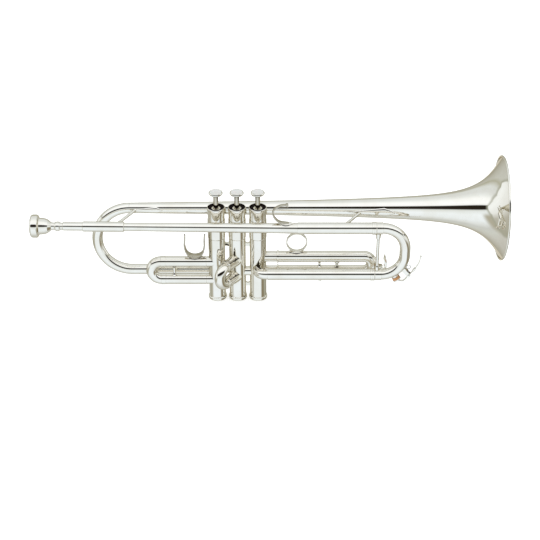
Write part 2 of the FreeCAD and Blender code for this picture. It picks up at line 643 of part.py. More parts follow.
def thumb_saddle():
    """U-shaped thumb saddle on the first slide, with flared tips and a leaf-shaped foot."""
    middle_x = -50.1
    half = 11.6
    tube_top = FIRST_TOP_Z + FIRST_OUTER_R
    floor_z = tube_top + 1.6
    tip_z = 87.8
    path = [(middle_x - half + 0.4, tip_z), (middle_x - half + 0.1, 80), (middle_x - half - 0.1, 71),
            (middle_x - 8.4, floor_z + 3.3), (middle_x, floor_z), (middle_x + 8.4, floor_z + 3.3),
            (middle_x + half - 0.3, 71), (middle_x + half - 0.1, 80), (middle_x + half + 0.6, tip_z)]
    strip = ribbon_xz(path, 1.9, FIRST_Y - 5.5, FIRST_Y + 5.5)
    taper = [Vec(middle_x - 30, FIRST_Y + y, z) for y, z in
             ((-4.6, floor_z - 3), (4.6, floor_z - 3), (4.8, 68), (1.6, tip_z - 1), (0.6, tip_z + 1),
              (-0.6, tip_z + 1), (-1.6, tip_z - 1), (-4.8, 68))]
    taper_solid = Part.Face(Part.makePolygon(taper + [taper[0]])).extrude(Vec(60, 0, 0))
    foot = tube(Vec(middle_x - 13, FIRST_Y, FIRST_TOP_Z), Vec(middle_x + 13, FIRST_Y, FIRST_TOP_Z),
                FIRST_OUTER_R + 0.9, FIRST_OUTER_R)
    foot = foot.common(leaf_prism_xy(middle_x, 25, FIRST_Y, 4.6, FIRST_TOP_Z, tube_top + 2))
    tube_solid = rod(Vec(-80, FIRST_Y, FIRST_TOP_Z), Vec(-37, FIRST_Y, FIRST_TOP_Z), FIRST_OUTER_R)
    return fuse([strip.common(taper_solid), foot]).cut(tube_solid)


# ---- second slide ------------------------------------------------------------------------
def second_point(distance, z):
    """A point on the second slide's centre plane, at a distance from valve two's axis."""
    angle = math.radians(SECOND_DIR_DEG)
    return SECOND_SHIFT + Vec(distance * math.cos(angle), distance * math.sin(angle), z)


def second_slide_sleeves():
    """Fixed outer tubes of the second slide on the front of valve two."""
    knuckle = rod(Vec(VALVE_X[0], 0, KNUCKLE_12_Z), Vec(0, 0, KNUCKLE_12_Z), KNUCKLE_R)
    sleeves = []
    for z in (SECOND_TOP_Z, SECOND_LOW_Z):
        bore_r = SECOND_INNER_R + RUNNING_GAP
        sleeve = tube(second_point(4, z), second_point(SECOND_SLEEVE_END, z), SECOND_OUTER_R, bore_r)
        collar = tube(second_point(4, z), second_point(12.4, z), SECOND_OUTER_R + 0.7, bore_r)
        sleeves.append(sleeve.fuse(collar).removeSplitter().cut(casing_plug(1)).cut(knuckle))
    return Part.makeCompound(sleeves)


def second_slide_legs():
    """Moving inner legs of the second slide."""
    return Part.makeCompound([
        tube(second_point(12.5, z), second_point(SECOND_CROOK_START, z), SECOND_INNER_R,
             SECOND_INNER_R - TUBE_WALL)
        for z in (SECOND_TOP_Z, SECOND_LOW_Z)])


def second_slide_crook():
    """Crook of the second slide with a ferrule on each end."""
    bend_r = (SECOND_TOP_Z - SECOND_LOW_Z) / 2
    far = SECOND_CROOK_START + bend_r
    points = [second_point(SECOND_CROOK_START, SECOND_TOP_Z), second_point(far, SECOND_TOP_Z),
              second_point(far, SECOND_LOW_Z), second_point(SECOND_CROOK_START, SECOND_LOW_Z)]
    crook = bent_tube(points, [bend_r, bend_r], 6.3, 5.8)
    ferrules = [tube(second_point(SECOND_SLEEVE_END + 0.05, z), second_point(SECOND_CROOK_START + 0.4, z),
                     7.0, SECOND_INNER_R) for z in (SECOND_TOP_Z, SECOND_LOW_Z)]
    legs = [rod(second_point(12.5, z), second_point(SECOND_CROOK_START, z), SECOND_INNER_R)
            for z in (SECOND_TOP_Z, SECOND_LOW_Z)]
    bore = bent_rod(points, [bend_r, bend_r], 5.8)
    joined = fuse([crook] + ferrules).cut(bore)
    for leg in legs:
        joined = joined.cut(leg)
    return joined


# ---- third slide -------------------------------------------------------------------------
def third_slide_stubs():
    """Fixed inner legs of the third slide on valve three."""
    legs = []
    for z in (THIRD_TOP_Z, THIRD_LOW_Z):
        leg = tube(Vec(VALVE_X[2], 0, z), Vec(122, 0, z), THIRD_INNER_R, THIRD_INNER_R - TUBE_WALL)
        legs.append(leg.cut(casing_plug(2)))
    return Part.makeCompound(legs)


def third_slide_tubes():
    """Moving outer tubes of the third slide, with a dark ring round each open end."""
    bore_r = THIRD_INNER_R + RUNNING_GAP
    return Part.makeCompound([
        ringed_tube(THIRD_FREE_X, THIRD_CROOK_X, 0, z, THIRD_OUTER_R, bore_r, 7.5, 1.6, (THIRD_FREE_X,))
        for z in (THIRD_TOP_Z, THIRD_LOW_Z)])


def third_slide_crook():
    """Half-circle crook of the third slide."""
    return u_crook(THIRD_CROOK_X, 0, THIRD_TOP_Z, THIRD_LOW_Z, 1, 6.6, 6.1)


def finger_ring():
    """Round finger ring on the third slide, with the pad it is soldered on."""
    centre = Vec(69.9, 0, 75.2)
    band = turned([(-2.8, 11.7), (-2.3, 11.15), (2.3, 11.15), (2.8, 11.7), (2.2, 12.4), (-2.2, 12.4)],
                  centre, Y_AXIS)
    pad = tube(Vec(57.8, 0, THIRD_TOP_Z), Vec(80.8, 0, THIRD_TOP_Z), THIRD_OUTER_R + 0.9, THIRD_OUTER_R)
    pad = pad.common(leaf_prism_xy(centre.x, 23, 0, 4.2, THIRD_TOP_Z, THIRD_TOP_Z + 10))
    tube_solid = rod(Vec(50, 0, THIRD_TOP_Z), Vec(90, 0, THIRD_TOP_Z), THIRD_OUTER_R)
    return fuse([band, pad]).cut(tube_solid)


def leaf_prism_xy(centre_x, length, y, half_width, z_low, z_high):
    """A pointed leaf outline in plan, extruded upwards."""
    half = length / 2
    outline = [(-half, 0), (-half * 0.5, half_width * 0.8), (0, half_width), (half * 0.5, half_width * 0.8),
               (half, 0), (half * 0.5, -half_width * 0.8), (0, -half_width), (-half * 0.5, -half_width * 0.8)]
    points = [Vec(centre_x + dx, y + dy, z_low) for dx, dy in outline]
    face = Part.Face(Part.makePolygon(points + [points[0]]))
    return face.extrude(Vec(0, 0, z_high - z_low))


def third_slide_brace():
    """Slender post with flared feet between the third slide's two tubes."""
    return slide_post(97.0, 0, THIRD_LOW_Z, THIRD_TOP_Z, THIRD_OUTER_R, 3.0, 1.2)


def third_slide_stop():
    """Goblet-shaped stop post and its nut between the third slide's tubes."""
    low = THIRD_LOW_Z + THIRD_OUTER_R - 0.6
    high = THIRD_TOP_Z - THIRD_OUTER_R + 0.6
    profile = [(low, 0), (low, 3.2), (low + 1.0, 2.6), (low + 1.8, 1.4), (low + 3.2, 1.4),
               (low + 4.4, 2.4), (high - 1.2, 3.3), (high, 3.5), (high, 0)]
    post = turned(profile, Vec(117.7, 0, 0), Z_AXIS)
    for z in (THIRD_TOP_Z, THIRD_LOW_Z):
        post = post.cut(rod(Vec(110, 0, z), Vec(126, 0, z), THIRD_OUTER_R))
    return post


# ---- water keys --------------------------------------------------------------------------
class WaterKey:
    """Sizes and places of one water key; angles are about the centre of its crook's bend."""

    def __init__(self, bend_centre, outer_r, nipple_deg, nipple_r, pivot, ear_deg, y):
        self.bend_centre = bend_centre
        self.outer_r = outer_r
        self.nipple_deg = nipple_deg
        self.nipple_r = nipple_r
        self.pivot = Vec(pivot[0], y, pivot[1])
        self.ear_deg = ear_deg
        self.y = y
        self.nipple_top = outer_r + 1.0
        self.cork_r = nipple_r + 1.2
        self.cork_top = self.nipple_top + 4.0
        self.cup_top = self.cork_top + 1.1

    def at(self, degrees, distance):
        """The point at a polar angle and distance from the bend's centre."""
        angle = math.radians(degrees)
        return Vec(self.bend_centre[0] + distance * math.cos(angle), self.y,
                   self.bend_centre[1] + distance * math.sin(angle))


MAIN_KEY = WaterKey((FERRULE_END_X, RETURN_Z + TUNING_BEND_R), TUNING_BEND_R + CROOK_R,
                    -60.0, 3.4, (200.8, 43.6), -36.0, LEAD_Y)
THIRD_BEND_R = (THIRD_TOP_Z - THIRD_LOW_Z) / 2
THIRD_KEY = WaterKey((THIRD_CROOK_X, THIRD_LOW_Z + THIRD_BEND_R), THIRD_BEND_R + 6.6,
                     -62.0, 2.4, (170.2, 41.0), -15.0, 0.0)
BARREL_HALF = 3.2
HINGE_BARREL_R = 1.8
PIN_R = 0.8


def plate_xz(start, end, half_width, y_low, y_high):
    """A flat plate with rounded ends between two points, in a plane across Y."""
    low_start = Vec(start.x, y_low, start.z)
    low_end = Vec(end.x, y_low, end.z)
    across = (low_end - low_start).normalize().cross(Y_AXIS) * half_width
    corners = [low_start + across, low_end + across, low_end - across, low_start - across]
    thick = Vec(0, y_high - y_low, 0)
    bar = Part.Face(Part.makePolygon(corners + [corners[0]])).extrude(thick)
    return fuse([bar, rod(low_start, low_start + thick, half_width), rod(low_end, low_end + thick, half_width)])


def key_mount(key, crook_solid):
    """Nipple, the two hinge ears and the hinge screw that a water key turns on."""
    y = key.y
    nipple = rod(key.at(key.nipple_deg, key.outer_r - 2.5), key.at(key.nipple_deg, key.nipple_top), key.nipple_r)
    flange = rod(key.at(key.nipple_deg, key.outer_r - 2.5), key.at(key.nipple_deg, key.outer_r + 0.4),
                 key.nipple_r + 0.9)
    drain = rod(key.at(key.nipple_deg, key.outer_r - 3), key.at(key.nipple_deg, key.nipple_top + 1), 1.4)
    root = key.at(key.ear_deg, key.outer_r - 2)
    ear_thick = 0.9
    ears = []
    for side in (-1, 1):
        near = y + side * (BARREL_HALF + 0.1)
        far = near + side * ear_thick
        ears.append(plate_xz(root, key.pivot, 2.2, min(near, far), max(near, far)))
    bridge = rod(key.at(key.ear_deg, key.outer_r + 0.2) - Y_AXIS * (BARREL_HALF + 1),
                 key.at(key.ear_deg, key.outer_r + 0.2) + Y_AXIS * (BARREL_HALF + 1), 2.1)
    half_pin = BARREL_HALF + 0.1 + ear_thick
    pin = rod(key.pivot - Y_AXIS * half_pin, key.pivot + Y_AXIS * half_pin, PIN_R)
    head = rod(key.pivot - Y_AXIS * (half_pin + 0.8), key.pivot - Y_AXIS * half_pin, 1.6)
    bracket = fuse(ears + [bridge, pin, head]).cut(crook_solid)
    return Part.makeCompound([nipple.fuse(flange).cut(drain).cut(crook_solid), bracket])


def key_cork(key):
    """Cork pad that closes the nipple."""
    return rod(key.at(key.nipple_deg, key.nipple_top), key.at(key.nipple_deg, key.cork_top), key.cork_r)


def key_lever(key, pad_path, touch_path, touch_thick, half_wide, extras):
    """Lever with its cork cup, hinge barrel and finger touch, and what the touch carries."""
    cup = rod(key.at(key.nipple_deg, key.cork_top), key.at(key.nipple_deg, key.cup_top), key.cork_r + 0.25)
    barrel = rod(key.pivot - Y_AXIS * BARREL_HALF, key.pivot + Y_AXIS * BARREL_HALF, HINGE_BARREL_R)
    pad_arm = ribbon_xz(pad_path, 1.5, key.y - 1.5, key.y + 1.5)
    touch = ribbon_xz(touch_path, touch_thick, key.y - half_wide, key.y + half_wide)
    pin_hole = rod(key.pivot - Y_AXIS * 6, key.pivot + Y_AXIS * 6, PIN_R + RUNNING_GAP)
    pieces = [cup, pad_arm, barrel, touch] + extras
    return fuse(pieces).cut(pin_hole)


def water_key_lever():
    """Main water key's lever, with a ball on its curved touch."""
    cup = MAIN_KEY.at(MAIN_KEY.nipple_deg, MAIN_KEY.cup_top)
    pad_path = [(200.2, 42.8), (197.8, 38.0), (194.0, 35.0), (cup.x, cup.z)]
    touch_path = [(201.8, 43.8), (205.6, 48.2), (209.8, 54.4), (212.6, 60.8), (213.9, 67.5)]
    sleeve = rod(Vec(205.4, LEAD_Y, 48.0), Vec(208.5, LEAD_Y, 52.4), 1.4)
    ball = Part.makeSphere(1.2, Vec(213.9, LEAD_Y, 68.2))
    return key_lever(MAIN_KEY, pad_path, touch_path, 1.2, 1.2, [sleeve, ball])


def third_key_lever():
    """Third slide water key's lever, with a leaf-shaped touch."""
    cup = THIRD_KEY.at(THIRD_KEY.nipple_deg, THIRD_KEY.cup_top)
    pad_path = [(169.6, 40.0), (168.2, 33.6), (165.4, 28.2), (cup.x, cup.z)]
    touch_path = [(170.8, 39.8), (173.0, 39.2), (175.6, 39.6)]
    leaf = prism_xz(((174.0, 59.6), (172.8, 56.0), (172.4, 52.5), (173.2, 47.5), (173.5, 43.0), (174.2, 39.0),
                     (176.4, 39.0), (177.2, 43.0), (177.1, 47.5), (176.2, 51.5), (175.1, 55.5)), -0.6, 0.6)
    return key_lever(THIRD_KEY, pad_path, touch_path, 1.4, 1.2, [leaf])


def water_key_spring():
    """Wire spring of the main water key: two coils on the hinge and a loop against the crook."""
    wire_r = 0.4
    pivot = MAIN_KEY.pivot
    loop_centre = Vec(200.6, LEAD_Y + 2.0, 52.6)
    coil = Part.makeTorus(HINGE_BARREL_R + wire_r + 0.15, wire_r, pivot + Y_AXIS * 2.0, Y_AXIS)
    loop = Part.makeTorus(2.5, wire_r, loop_centre, Y_AXIS)
    link = rod(pivot + Vec(-0.2, 2.0, HINGE_BARREL_R + 0.55), loop_centre - Vec(0.3, 0, 2.5), wire_r)
    return fuse([coil, link, loop])


# ---- tuning slide ------------------------------------------------------------------------
def tuning_slide_legs():
    """Moving inner legs of the tuning slide."""
    outer_r = SLIDE_INNER_R - RUNNING_GAP
    return Part.makeCompound([
        tube(Vec(start_x, LEAD_Y, z), Vec(FERRULE_END_X, LEAD_Y, z), outer_r, outer_r - 0.4)
        for start_x, z in ((88.0, LEAD_Z), (78.0, RETURN_Z))])


def tuning_slide_ferrules():
    """Sleeves that join the tuning slide's legs to its crook."""
    bore_r = SLIDE_INNER_R - RUNNING_GAP
    ferrules = []
    for z in (LEAD_Z, RETURN_Z):
        profile = [(SLIDE_MOUTH_X, bore_r), (SLIDE_MOUTH_X, FERRULE_R - 0.2), (SLIDE_MOUTH_X + 0.5, FERRULE_R),
                   (SLIDE_MOUTH_X + 2.2, FERRULE_R), (SLIDE_MOUTH_X + 2.7, 6.9),
                   (FERRULE_END_X - 1.6, 6.9), (FERRULE_END_X - 1.2, 7.1), (FERRULE_END_X, 7.1),
                   (FERRULE_END_X, bore_r)]
        ferrules.append(turned(profile, Vec(0, LEAD_Y, z), X_AXIS))
    return Part.makeCompound(ferrules)


def tuning_crook_points():
    """Corners of the tuning slide crook's centre line."""
    far_x = FERRULE_END_X + TUNING_BEND_R
    return [Vec(FERRULE_END_X, LEAD_Y, LEAD_Z), Vec(far_x, LEAD_Y, LEAD_Z), Vec(far_x, LEAD_Y, RETURN_Z),
            Vec(FERRULE_END_X, LEAD_Y, RETURN_Z)]


def tuning_slide_crook():
    """Tuning slide crook: two quarter bends with a short straight between them."""
    bends = [TUNING_BEND_R, TUNING_BEND_R]
    return bent_tube(tuning_crook_points(), bends, CROOK_R, CROOK_R - TUBE_WALL)


def tuning_slide_brace():
    """Upright brace rod between the ferrules, with a turned foot at each end."""
    low = RETURN_Z + 6.0
    high = LEAD_Z - 6.0
    profile = [(low, 0), (low, 3.4), (low + 1.6, 3.1), (low + 5.0, 2.5), (low + 6.0, 1.8),
               (high - 8.0, 1.8), (high - 7.4, 2.4), (high - 1.6, 3.2), (high, 3.6), (high, 0)]
    post = turned(profile, Vec(TUNING_BRACE_X, LEAD_Y, 0), Z_AXIS)
    for z in (LEAD_Z, RETURN_Z):
        post = post.cut(rod(Vec(SLIDE_MOUTH_X, LEAD_Y, z), Vec(FERRULE_END_X, LEAD_Y, z), 6.9))
        post = post.cut(rod(Vec(SLIDE_MOUTH_X, LEAD_Y, z), Vec(SLIDE_MOUTH_X + 2.7, LEAD_Y, z), FERRULE_R))
    return post


# ---- braces and hook ---------------------------------------------------------------------
def bell_core(extra):
    """The solid that the bell's outside fills, grown by a little."""
    outline = [Vec(BELL_RIM_X - back, BELL_Y, BELL_Z + radius + extra) for back, radius in bell_outline()]
    curve = Part.BSplineCurve()
    curve.interpolate(outline)
    front = Vec(BELL_RIM_X, BELL_Y, BELL_Z)
    back = Vec(BELL_BACK_X, BELL_Y, BELL_Z)
    edges = [curve.toShape(), Part.makeLine(outline[0], front), Part.makeLine(front, back),
             Part.makeLine(back, outline[-1])]
    return Part.Face(Part.Wire(Part.__sortEdges__(edges))).revolve(back, X_AXIS, 360)


def bell_body():
    """The solid that fills the bell, both the smooth curve and the stem's cones."""
    stem = stem_outline(0.0)
    cones = turned(stem + [(stem[-1][0], 0), (stem[0][0], 0)], Vec(0, BELL_Y, BELL_Z), X_AXIS)
    return bell_core(0.0).fuse(cones)


def bell_foot(points_x, half_height, core):
    """A pointed leaf soldered on the bell's leadpipe side; points_x is tip, widest, tip."""
    tip_a, widest, tip_b = points_x
    outline = ((tip_a, BELL_Z), (widest, BELL_Z + half_height), (tip_b, BELL_Z), (widest, BELL_Z - half_height))
    return bell_core(0.8).cut(core).common(prism_xz(outline, BELL_Y - 30, BELL_Y))


def bell_braces():
    """Two slanted rods that tie the leadpipe to the bell, each with a leaf foot on both ends."""
    core = bell_body()
    rod_r = 1.75
    rear = rod(lead_point(-141.3), Vec(-116.6, BELL_Y, BELL_Z), rod_r)
    rear = rear.cut(lead_rod(-165, -120, RECEIVER_R)).cut(core)
    rear_foot = bell_foot((-125.5, -95, -87), 4.2, core)
    front = rod(Vec(120, LEAD_Y, LEAD_Z), Vec(151.1, BELL_Y, BELL_Z), rod_r)
    front = front.cut(rod(Vec(100, LEAD_Y, LEAD_Z), Vec(150, LEAD_Y, LEAD_Z), SLIDE_OUTER_R)).cut(core)
    front_foot = bell_foot((129, 172, 186), 5.6, core)
    pipe_foot = leaf_foot(123, 20, 3.6, LEAD_Y, LEAD_Z, SLIDE_OUTER_R, 1)
    return Part.makeCompound([fuse([rear, rear_foot]), fuse([front, front_foot, pipe_foot])])


def valve_braces():
    """Short rods from the casings to the bell and the leadpipe, and the struts between casings."""
    rod_r = 1.9
    bell_solid = bell_body()
    braces = casing_bridges()
    for index in (0, 2):
        x = VALVE_X[index]
        bell_side = rod(Vec(x, 0, 98), Vec(x, BELL_Y, BELL_Z - 4), rod_r)
        braces.append(bell_side.cut(bell_solid).cut(casing_plug(index, UPPER_CASING_R)))
        lead_side = rod(Vec(x, 0, 98), lead_point(x), rod_r)
        braces.append(lead_side.cut(lead_rod(-60, 60, 6.1)).cut(casing_plug(index, UPPER_CASING_R)))
    return Part.makeCompound(braces)


def finger_hook():
    """Little-finger hook on top of the leadpipe, open towards the bell."""
    path = [(58, 112.4), (52.4, 112.7), (47.2, 114.9), (43.2, 119.8), (41.7, 125.2), (43.9, 130.5),
            (49.5, 134.3), (57.2, 135.6)]
    strip = ribbon_xz(path, 1.7, LEAD_Y - 3.2, LEAD_Y + 3.2)
    taper = [Vec(35, LEAD_Y + y, z) for y, z in
             ((-3.2, 110), (3.2, 110), (3.2, 118), (1.9, 128), (1.9, 138), (-1.9, 138), (-1.9, 128), (-3.2, 118))]
    strip = strip.common(Part.Face(Part.makePolygon(taper + [taper[0]])).extrude(Vec(40, 0, 0)))
    knob = rod(Vec(57.7, LEAD_Y - 2.2, 135.5), Vec(57.7, LEAD_Y + 2.2, 135.5), 1.5)
    foot = lead_rod(47, 66, 7.4)
    foot = foot.common(leaf_prism_xy(56.5, 19, LEAD_Y, 4.4, LEAD_Z, LEAD_Z + 10))
    return fuse([strip, knob, foot]).cut(lead_rod(30, SLIDE_TUBE_X, 6.2))


# ---- all nodes ---------------------------------------------------------------------------
def build_nodes():
    """Every node of the instrument, by name."""
    nodes = {
        "mouthpiece": mouthpiece(),
        "mouthpiece_receiver": mouthpiece_receiver(),
        "leadpipe": leadpipe(),
        "upper_slide_tube": upper_slide_tube(),
        "lower_slide_tube": lower_slide_tube(),
        "inlet_elbow": inlet_elbow(),
        "bell_stem": bell_stem(),
        "bell_flare": bell_flare(),
        "bell_bow": bell_bow(),
        "bell_braces": bell_braces(),
        "valve_braces": valve_braces(),
        "finger_hook": finger_hook(),
        "valve_knuckles": valve_knuckles(),
        "top_caps": top_caps(),
        "bottom_caps": bottom_caps(),
        "cap_felts": cap_felts(),
        "valve_guides": valve_guides(),
        "first_slide_stubs": first_slide_stubs(),
        "first_slide_tubes": first_slide_tubes(),
        "first_slide_crook": first_slide_crook(),
        "first_slide_brace": first_slide_brace(),
        "thumb_saddle": thumb_saddle(),
        "second_slide_sleeves": second_slide_sleeves(),
        "second_slide_legs": second_slide_legs(),
        "second_slide_crook": second_slide_crook(),
        "third_slide_stubs": third_slide_stubs(),
        "third_slide_tubes": third_slide_tubes(),
        "third_slide_crook": third_slide_crook(),
        "finger_ring": finger_ring(),
        "third_slide_brace": third_slide_brace(),
        "third_slide_stop": third_slide_stop(),
        "tuning_slide_legs": tuning_slide_legs(),
        "tuning_slide_ferrules": tuning_slide_ferrules(),
        "tuning_slide_crook": tuning_slide_crook(),
        "tuning_slide_brace": tuning_slide_brace(),
        "water_key_lever": water_key_lever(),
        "water_key_cork": key_cork(MAIN_KEY),
        "water_key_spring": water_key_spring(),
        "third_key_lever": third_key_lever(),
        "third_key_cork": key_cork(THIRD_KEY),
    }
    crook_solid = bent_rod(tuning_crook_points(), [TUNING_BEND_R, TUNING_BEND_R], CROOK_R)
    nodes["water_key_mount"] = key_mount(MAIN_KEY, crook_solid)
    third_far = THIRD_CROOK_X + THIRD_BEND_R
    third_points = [Vec(THIRD_CROOK_X, 0, THIRD_TOP_Z), Vec(third_far, 0, THIRD_TOP_Z),
                    Vec(third_far, 0, THIRD_LOW_Z), Vec(THIRD_CROOK_X, 0, THIRD_LOW_Z)]
    third_solid = bent_rod(third_points, [THIRD_BEND_R, THIRD_BEND_R], 6.6)
    nodes["third_key_mount"] = key_mount(THIRD_KEY, third_solid)
    for index in range(3):
        number = index + 1
        nodes[f"valve_casing_{number}"] = valve_casing(index)
        nodes[f"piston_{number}"] = piston(index)
        nodes[f"valve_stem_{number}"] = valve_stem(index)
        nodes[f"finger_button_{number}"] = finger_button(index)
        nodes[f"button_pearl_{number}"] = button_pearl(index)
        nodes[f"valve_spring_{number}"] = valve_spring(index)
    return nodes


def main():
    os.makedirs(PARTS_DIR, exist_ok=True)
    for name, shape in build_nodes().items():
        shape.exportStep(f"{PARTS_DIR}/{name}.step")
        state = "ok" if shape.isValid() else "INVALID"
        print(f"{name:24s} solids {len(shape.Solids)} volume {shape.Volume:10.1f} {state}")


main()
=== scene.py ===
"""Looks of the silver-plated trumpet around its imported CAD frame."""
import json
import math

import bmesh
import bpy
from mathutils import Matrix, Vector


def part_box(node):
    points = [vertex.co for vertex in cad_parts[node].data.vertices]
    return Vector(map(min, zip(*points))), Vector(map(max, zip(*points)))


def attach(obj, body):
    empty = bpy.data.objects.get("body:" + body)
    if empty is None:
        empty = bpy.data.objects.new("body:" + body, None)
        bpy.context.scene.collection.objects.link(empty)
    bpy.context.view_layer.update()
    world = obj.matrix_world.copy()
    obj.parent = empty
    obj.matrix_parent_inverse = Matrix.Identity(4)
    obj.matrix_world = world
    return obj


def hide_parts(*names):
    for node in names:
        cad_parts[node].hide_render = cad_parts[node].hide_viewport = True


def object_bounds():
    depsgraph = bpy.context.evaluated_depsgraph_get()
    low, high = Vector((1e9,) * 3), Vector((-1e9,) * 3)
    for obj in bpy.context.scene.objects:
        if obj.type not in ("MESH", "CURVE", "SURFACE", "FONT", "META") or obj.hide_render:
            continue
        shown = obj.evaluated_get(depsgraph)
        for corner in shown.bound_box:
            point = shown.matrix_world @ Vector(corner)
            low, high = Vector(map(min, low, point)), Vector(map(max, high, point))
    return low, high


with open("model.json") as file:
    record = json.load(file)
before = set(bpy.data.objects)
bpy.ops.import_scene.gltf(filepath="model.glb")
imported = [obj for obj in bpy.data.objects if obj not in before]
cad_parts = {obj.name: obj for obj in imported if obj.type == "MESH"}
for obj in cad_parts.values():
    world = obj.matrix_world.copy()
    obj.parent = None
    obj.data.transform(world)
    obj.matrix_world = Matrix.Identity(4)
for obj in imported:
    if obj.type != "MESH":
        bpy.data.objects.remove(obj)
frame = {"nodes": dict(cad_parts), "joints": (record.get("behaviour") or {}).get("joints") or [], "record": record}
cad_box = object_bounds()
NODES = frame["nodes"]
MM = 0.001

# the camera stands on the leadpipe side and looks down on the valves
CAMERA_POS = Vector((0.0384, -1.3828, 0.8517))
CAMERA_PITCH_DEG = 30.5
CAMERA_LENS = 90.0
CAMERA_SENSOR = 36.0
LIT_POINT = Vector((0.05, 0.0, 0.1))
FLOOR_SIZE = 30.0
FLOOR_GAP = 0.0002


# ---- studio ------------------------------------------------------------------------------
def make_camera():
    """Camera that looks down on the valves from the leadpipe side."""
    data = bpy.data.cameras.new("camera")
    data.lens = CAMERA_LENS
    data.sensor_width = CAMERA_SENSOR
    data.clip_end = 20.0
    camera = bpy.data.objects.new("camera", data)
    camera.location = CAMERA_POS
    camera.rotation_euler = (math.radians(90.0 - CAMERA_PITCH_DEG), 0.0, 0.0)
    bpy.context.scene.collection.objects.link(camera)
    bpy.context.scene.camera = camera


def math_node(tree, operation, first, second=None, clamp=False):
    """A math node whose operands are sockets or numbers; returns its output."""
    node = tree.nodes.new("ShaderNodeMath")
    node.operation = operation
    node.use_clamp = clamp
    for slot, operand in enumerate((first, second)):
        if operand is None:
            continue
        if isinstance(operand, (int, float)):
            node.inputs[slot].default_value = operand
        else:
            tree.links.new(operand, node.inputs[slot])
    return node.outputs[0]


def colour_ramp(tree, value, stops):
    """A colour ramp over 0 to 1; each stop is (place, red, green, blue)."""
    ramp = tree.nodes.new("ShaderNodeValToRGB")
    tree.links.new(value, ramp.inputs[0])
    elements = ramp.color_ramp.elements
    while len(elements) < len(stops):
        elements.new(0.5)
    for element, (spot, red, green, blue) in zip(elements, stops):
        element.position = spot
        element.color = (red, green, blue, 1.0)
    return ramp.outputs["Color"]


def map_range(tree, value, low, high, out_low=0.0, out_high=1.0, kind="LINEAR"):
    """Map a value from one range to another, clamped."""
    node = tree.nodes.new("ShaderNodeMapRange")
    node.interpolation_type = kind
    for name, number in (("From Min", low), ("From Max", high), ("To Min", out_low), ("To Max", out_high)):
        node.inputs[name].default_value = number
    tree.links.new(value, node.inputs["Value"])
    return node.outputs["Result"]


def step_between(tree, value, low, high):
    """A smooth step from 0 at low to 1 at high."""
    return map_range(tree, value, low, high, kind="SMOOTHSTEP")


def mix_colours(tree, factor, first, second):
    """Mix two colours; each is a socket or an RGB triple."""
    node = tree.nodes.new("ShaderNodeMix")
    node.data_type = "RGBA"
    tree.links.new(factor, node.inputs["Factor"])
    for slot, colour in ((6, first), (7, second)):
        if isinstance(colour, tuple):
            node.inputs[slot].default_value = (*colour, 1.0)
        else:
            tree.links.new(colour, node.inputs[slot])
    return node.outputs[2]


# the tent's colour by the angle in degrees from straight in front, over the top, to the back
TENT_START_DEG = -150
TENT = ((-150, 0.66, 0.66, 0.61), (-120, 0.66, 0.65, 0.60), (-99, 0.67, 0.68, 0.62), (-80, 0.64, 0.65, 0.61),
        (-64, 0.78, 0.80, 0.77), (-45, 0.89, 0.93, 0.93), (-14, 0.94, 0.98, 0.98), (6, 0.84, 0.87, 0.84),
        (14, 0.72, 0.74, 0.70), (20, 0.02, 0.015, 0.01), (41, 0.02, 0.015, 0.01), (47, 1.0, 1.0, 0.97),
        (60, 1.08, 1.08, 1.06), (84, 1.04, 1.04, 1.0), (100, 0.88, 0.90, 0.86), (119, 0.78, 0.79, 0.76),
        (142, 0.76, 0.78, 0.74), (152, 0.62, 0.62, 0.54), (158, 0.50, 0.49, 0.38), (166, 0.62, 0.62, 0.55),
        (210, 0.66, 0.66, 0.61))
# how far out to the side the tent ends, as the X of a direction, by the same angle
TENT_ENDS = ((-150, 0.77), (-118, 0.776), (-108, 0.822), (-68, 0.913), (-25, 0.939), (26, 0.90), (40, 0.90),
             (51, 0.927), (75, 0.944), (128, 0.934), (158, 0.854), (165, 0.797), (210, 0.77))
TENT_STRENGTH = 1.2
TENT_CAST = (1.0, 1.03, 1.09)
# the warmer colours low down at the tent's left and right, and that of its hem
LEFT_LOW = (0.46, 0.43, 0.33)
RIGHT_LOW = (0.26, 0.22, 0.14)
HEM = (0.40, 0.40, 0.31)
# the room past the tent's ends, from the ground to straight above
ROOM = ((0.0, 0.52, 0.50, 0.42), (0.24, 0.44, 0.43, 0.34), (0.36, 0.52, 0.50, 0.42), (0.45, 0.84, 0.84, 0.79),
        (0.58, 0.96, 0.97, 0.93), (1.0, 0.90, 0.90, 0.86))
BACKDROP = (0.9, 0.9, 0.9)


def glow(*colour):
    """A tent colour, cooled a little to balance the silver's warmth, as the world node takes it."""
    return tuple(part * cast / TENT_STRENGTH for part, cast in zip(colour, TENT_CAST))


def around_share(degrees):
    """The place of an angle round the tent on a ramp from 0 to 1."""
    return (degrees - TENT_START_DEG) / 360


def tent_wall(tree, x, z, around):
    """The tent's colour round the long axis, warmer low down at both sides."""
    wall = colour_ramp(tree, around, [(around_share(deg), *glow(*colour)) for deg, *colour in TENT])
    low = math_node(tree, "SUBTRACT", 1.0, step_between(tree, z, -0.25, 0.05))
    right = math_node(tree, "MULTIPLY", low, step_between(tree, x, 0.50, 0.74))
    leftward = math_node(tree, "MULTIPLY", x, -1.0)
    left = math_node(tree, "MULTIPLY", low, step_between(tree, leftward, 0.72, 0.86))
    wall = mix_colours(tree, left, wall, glow(*LEFT_LOW))
    return mix_colours(tree, right, wall, glow(*RIGHT_LOW))


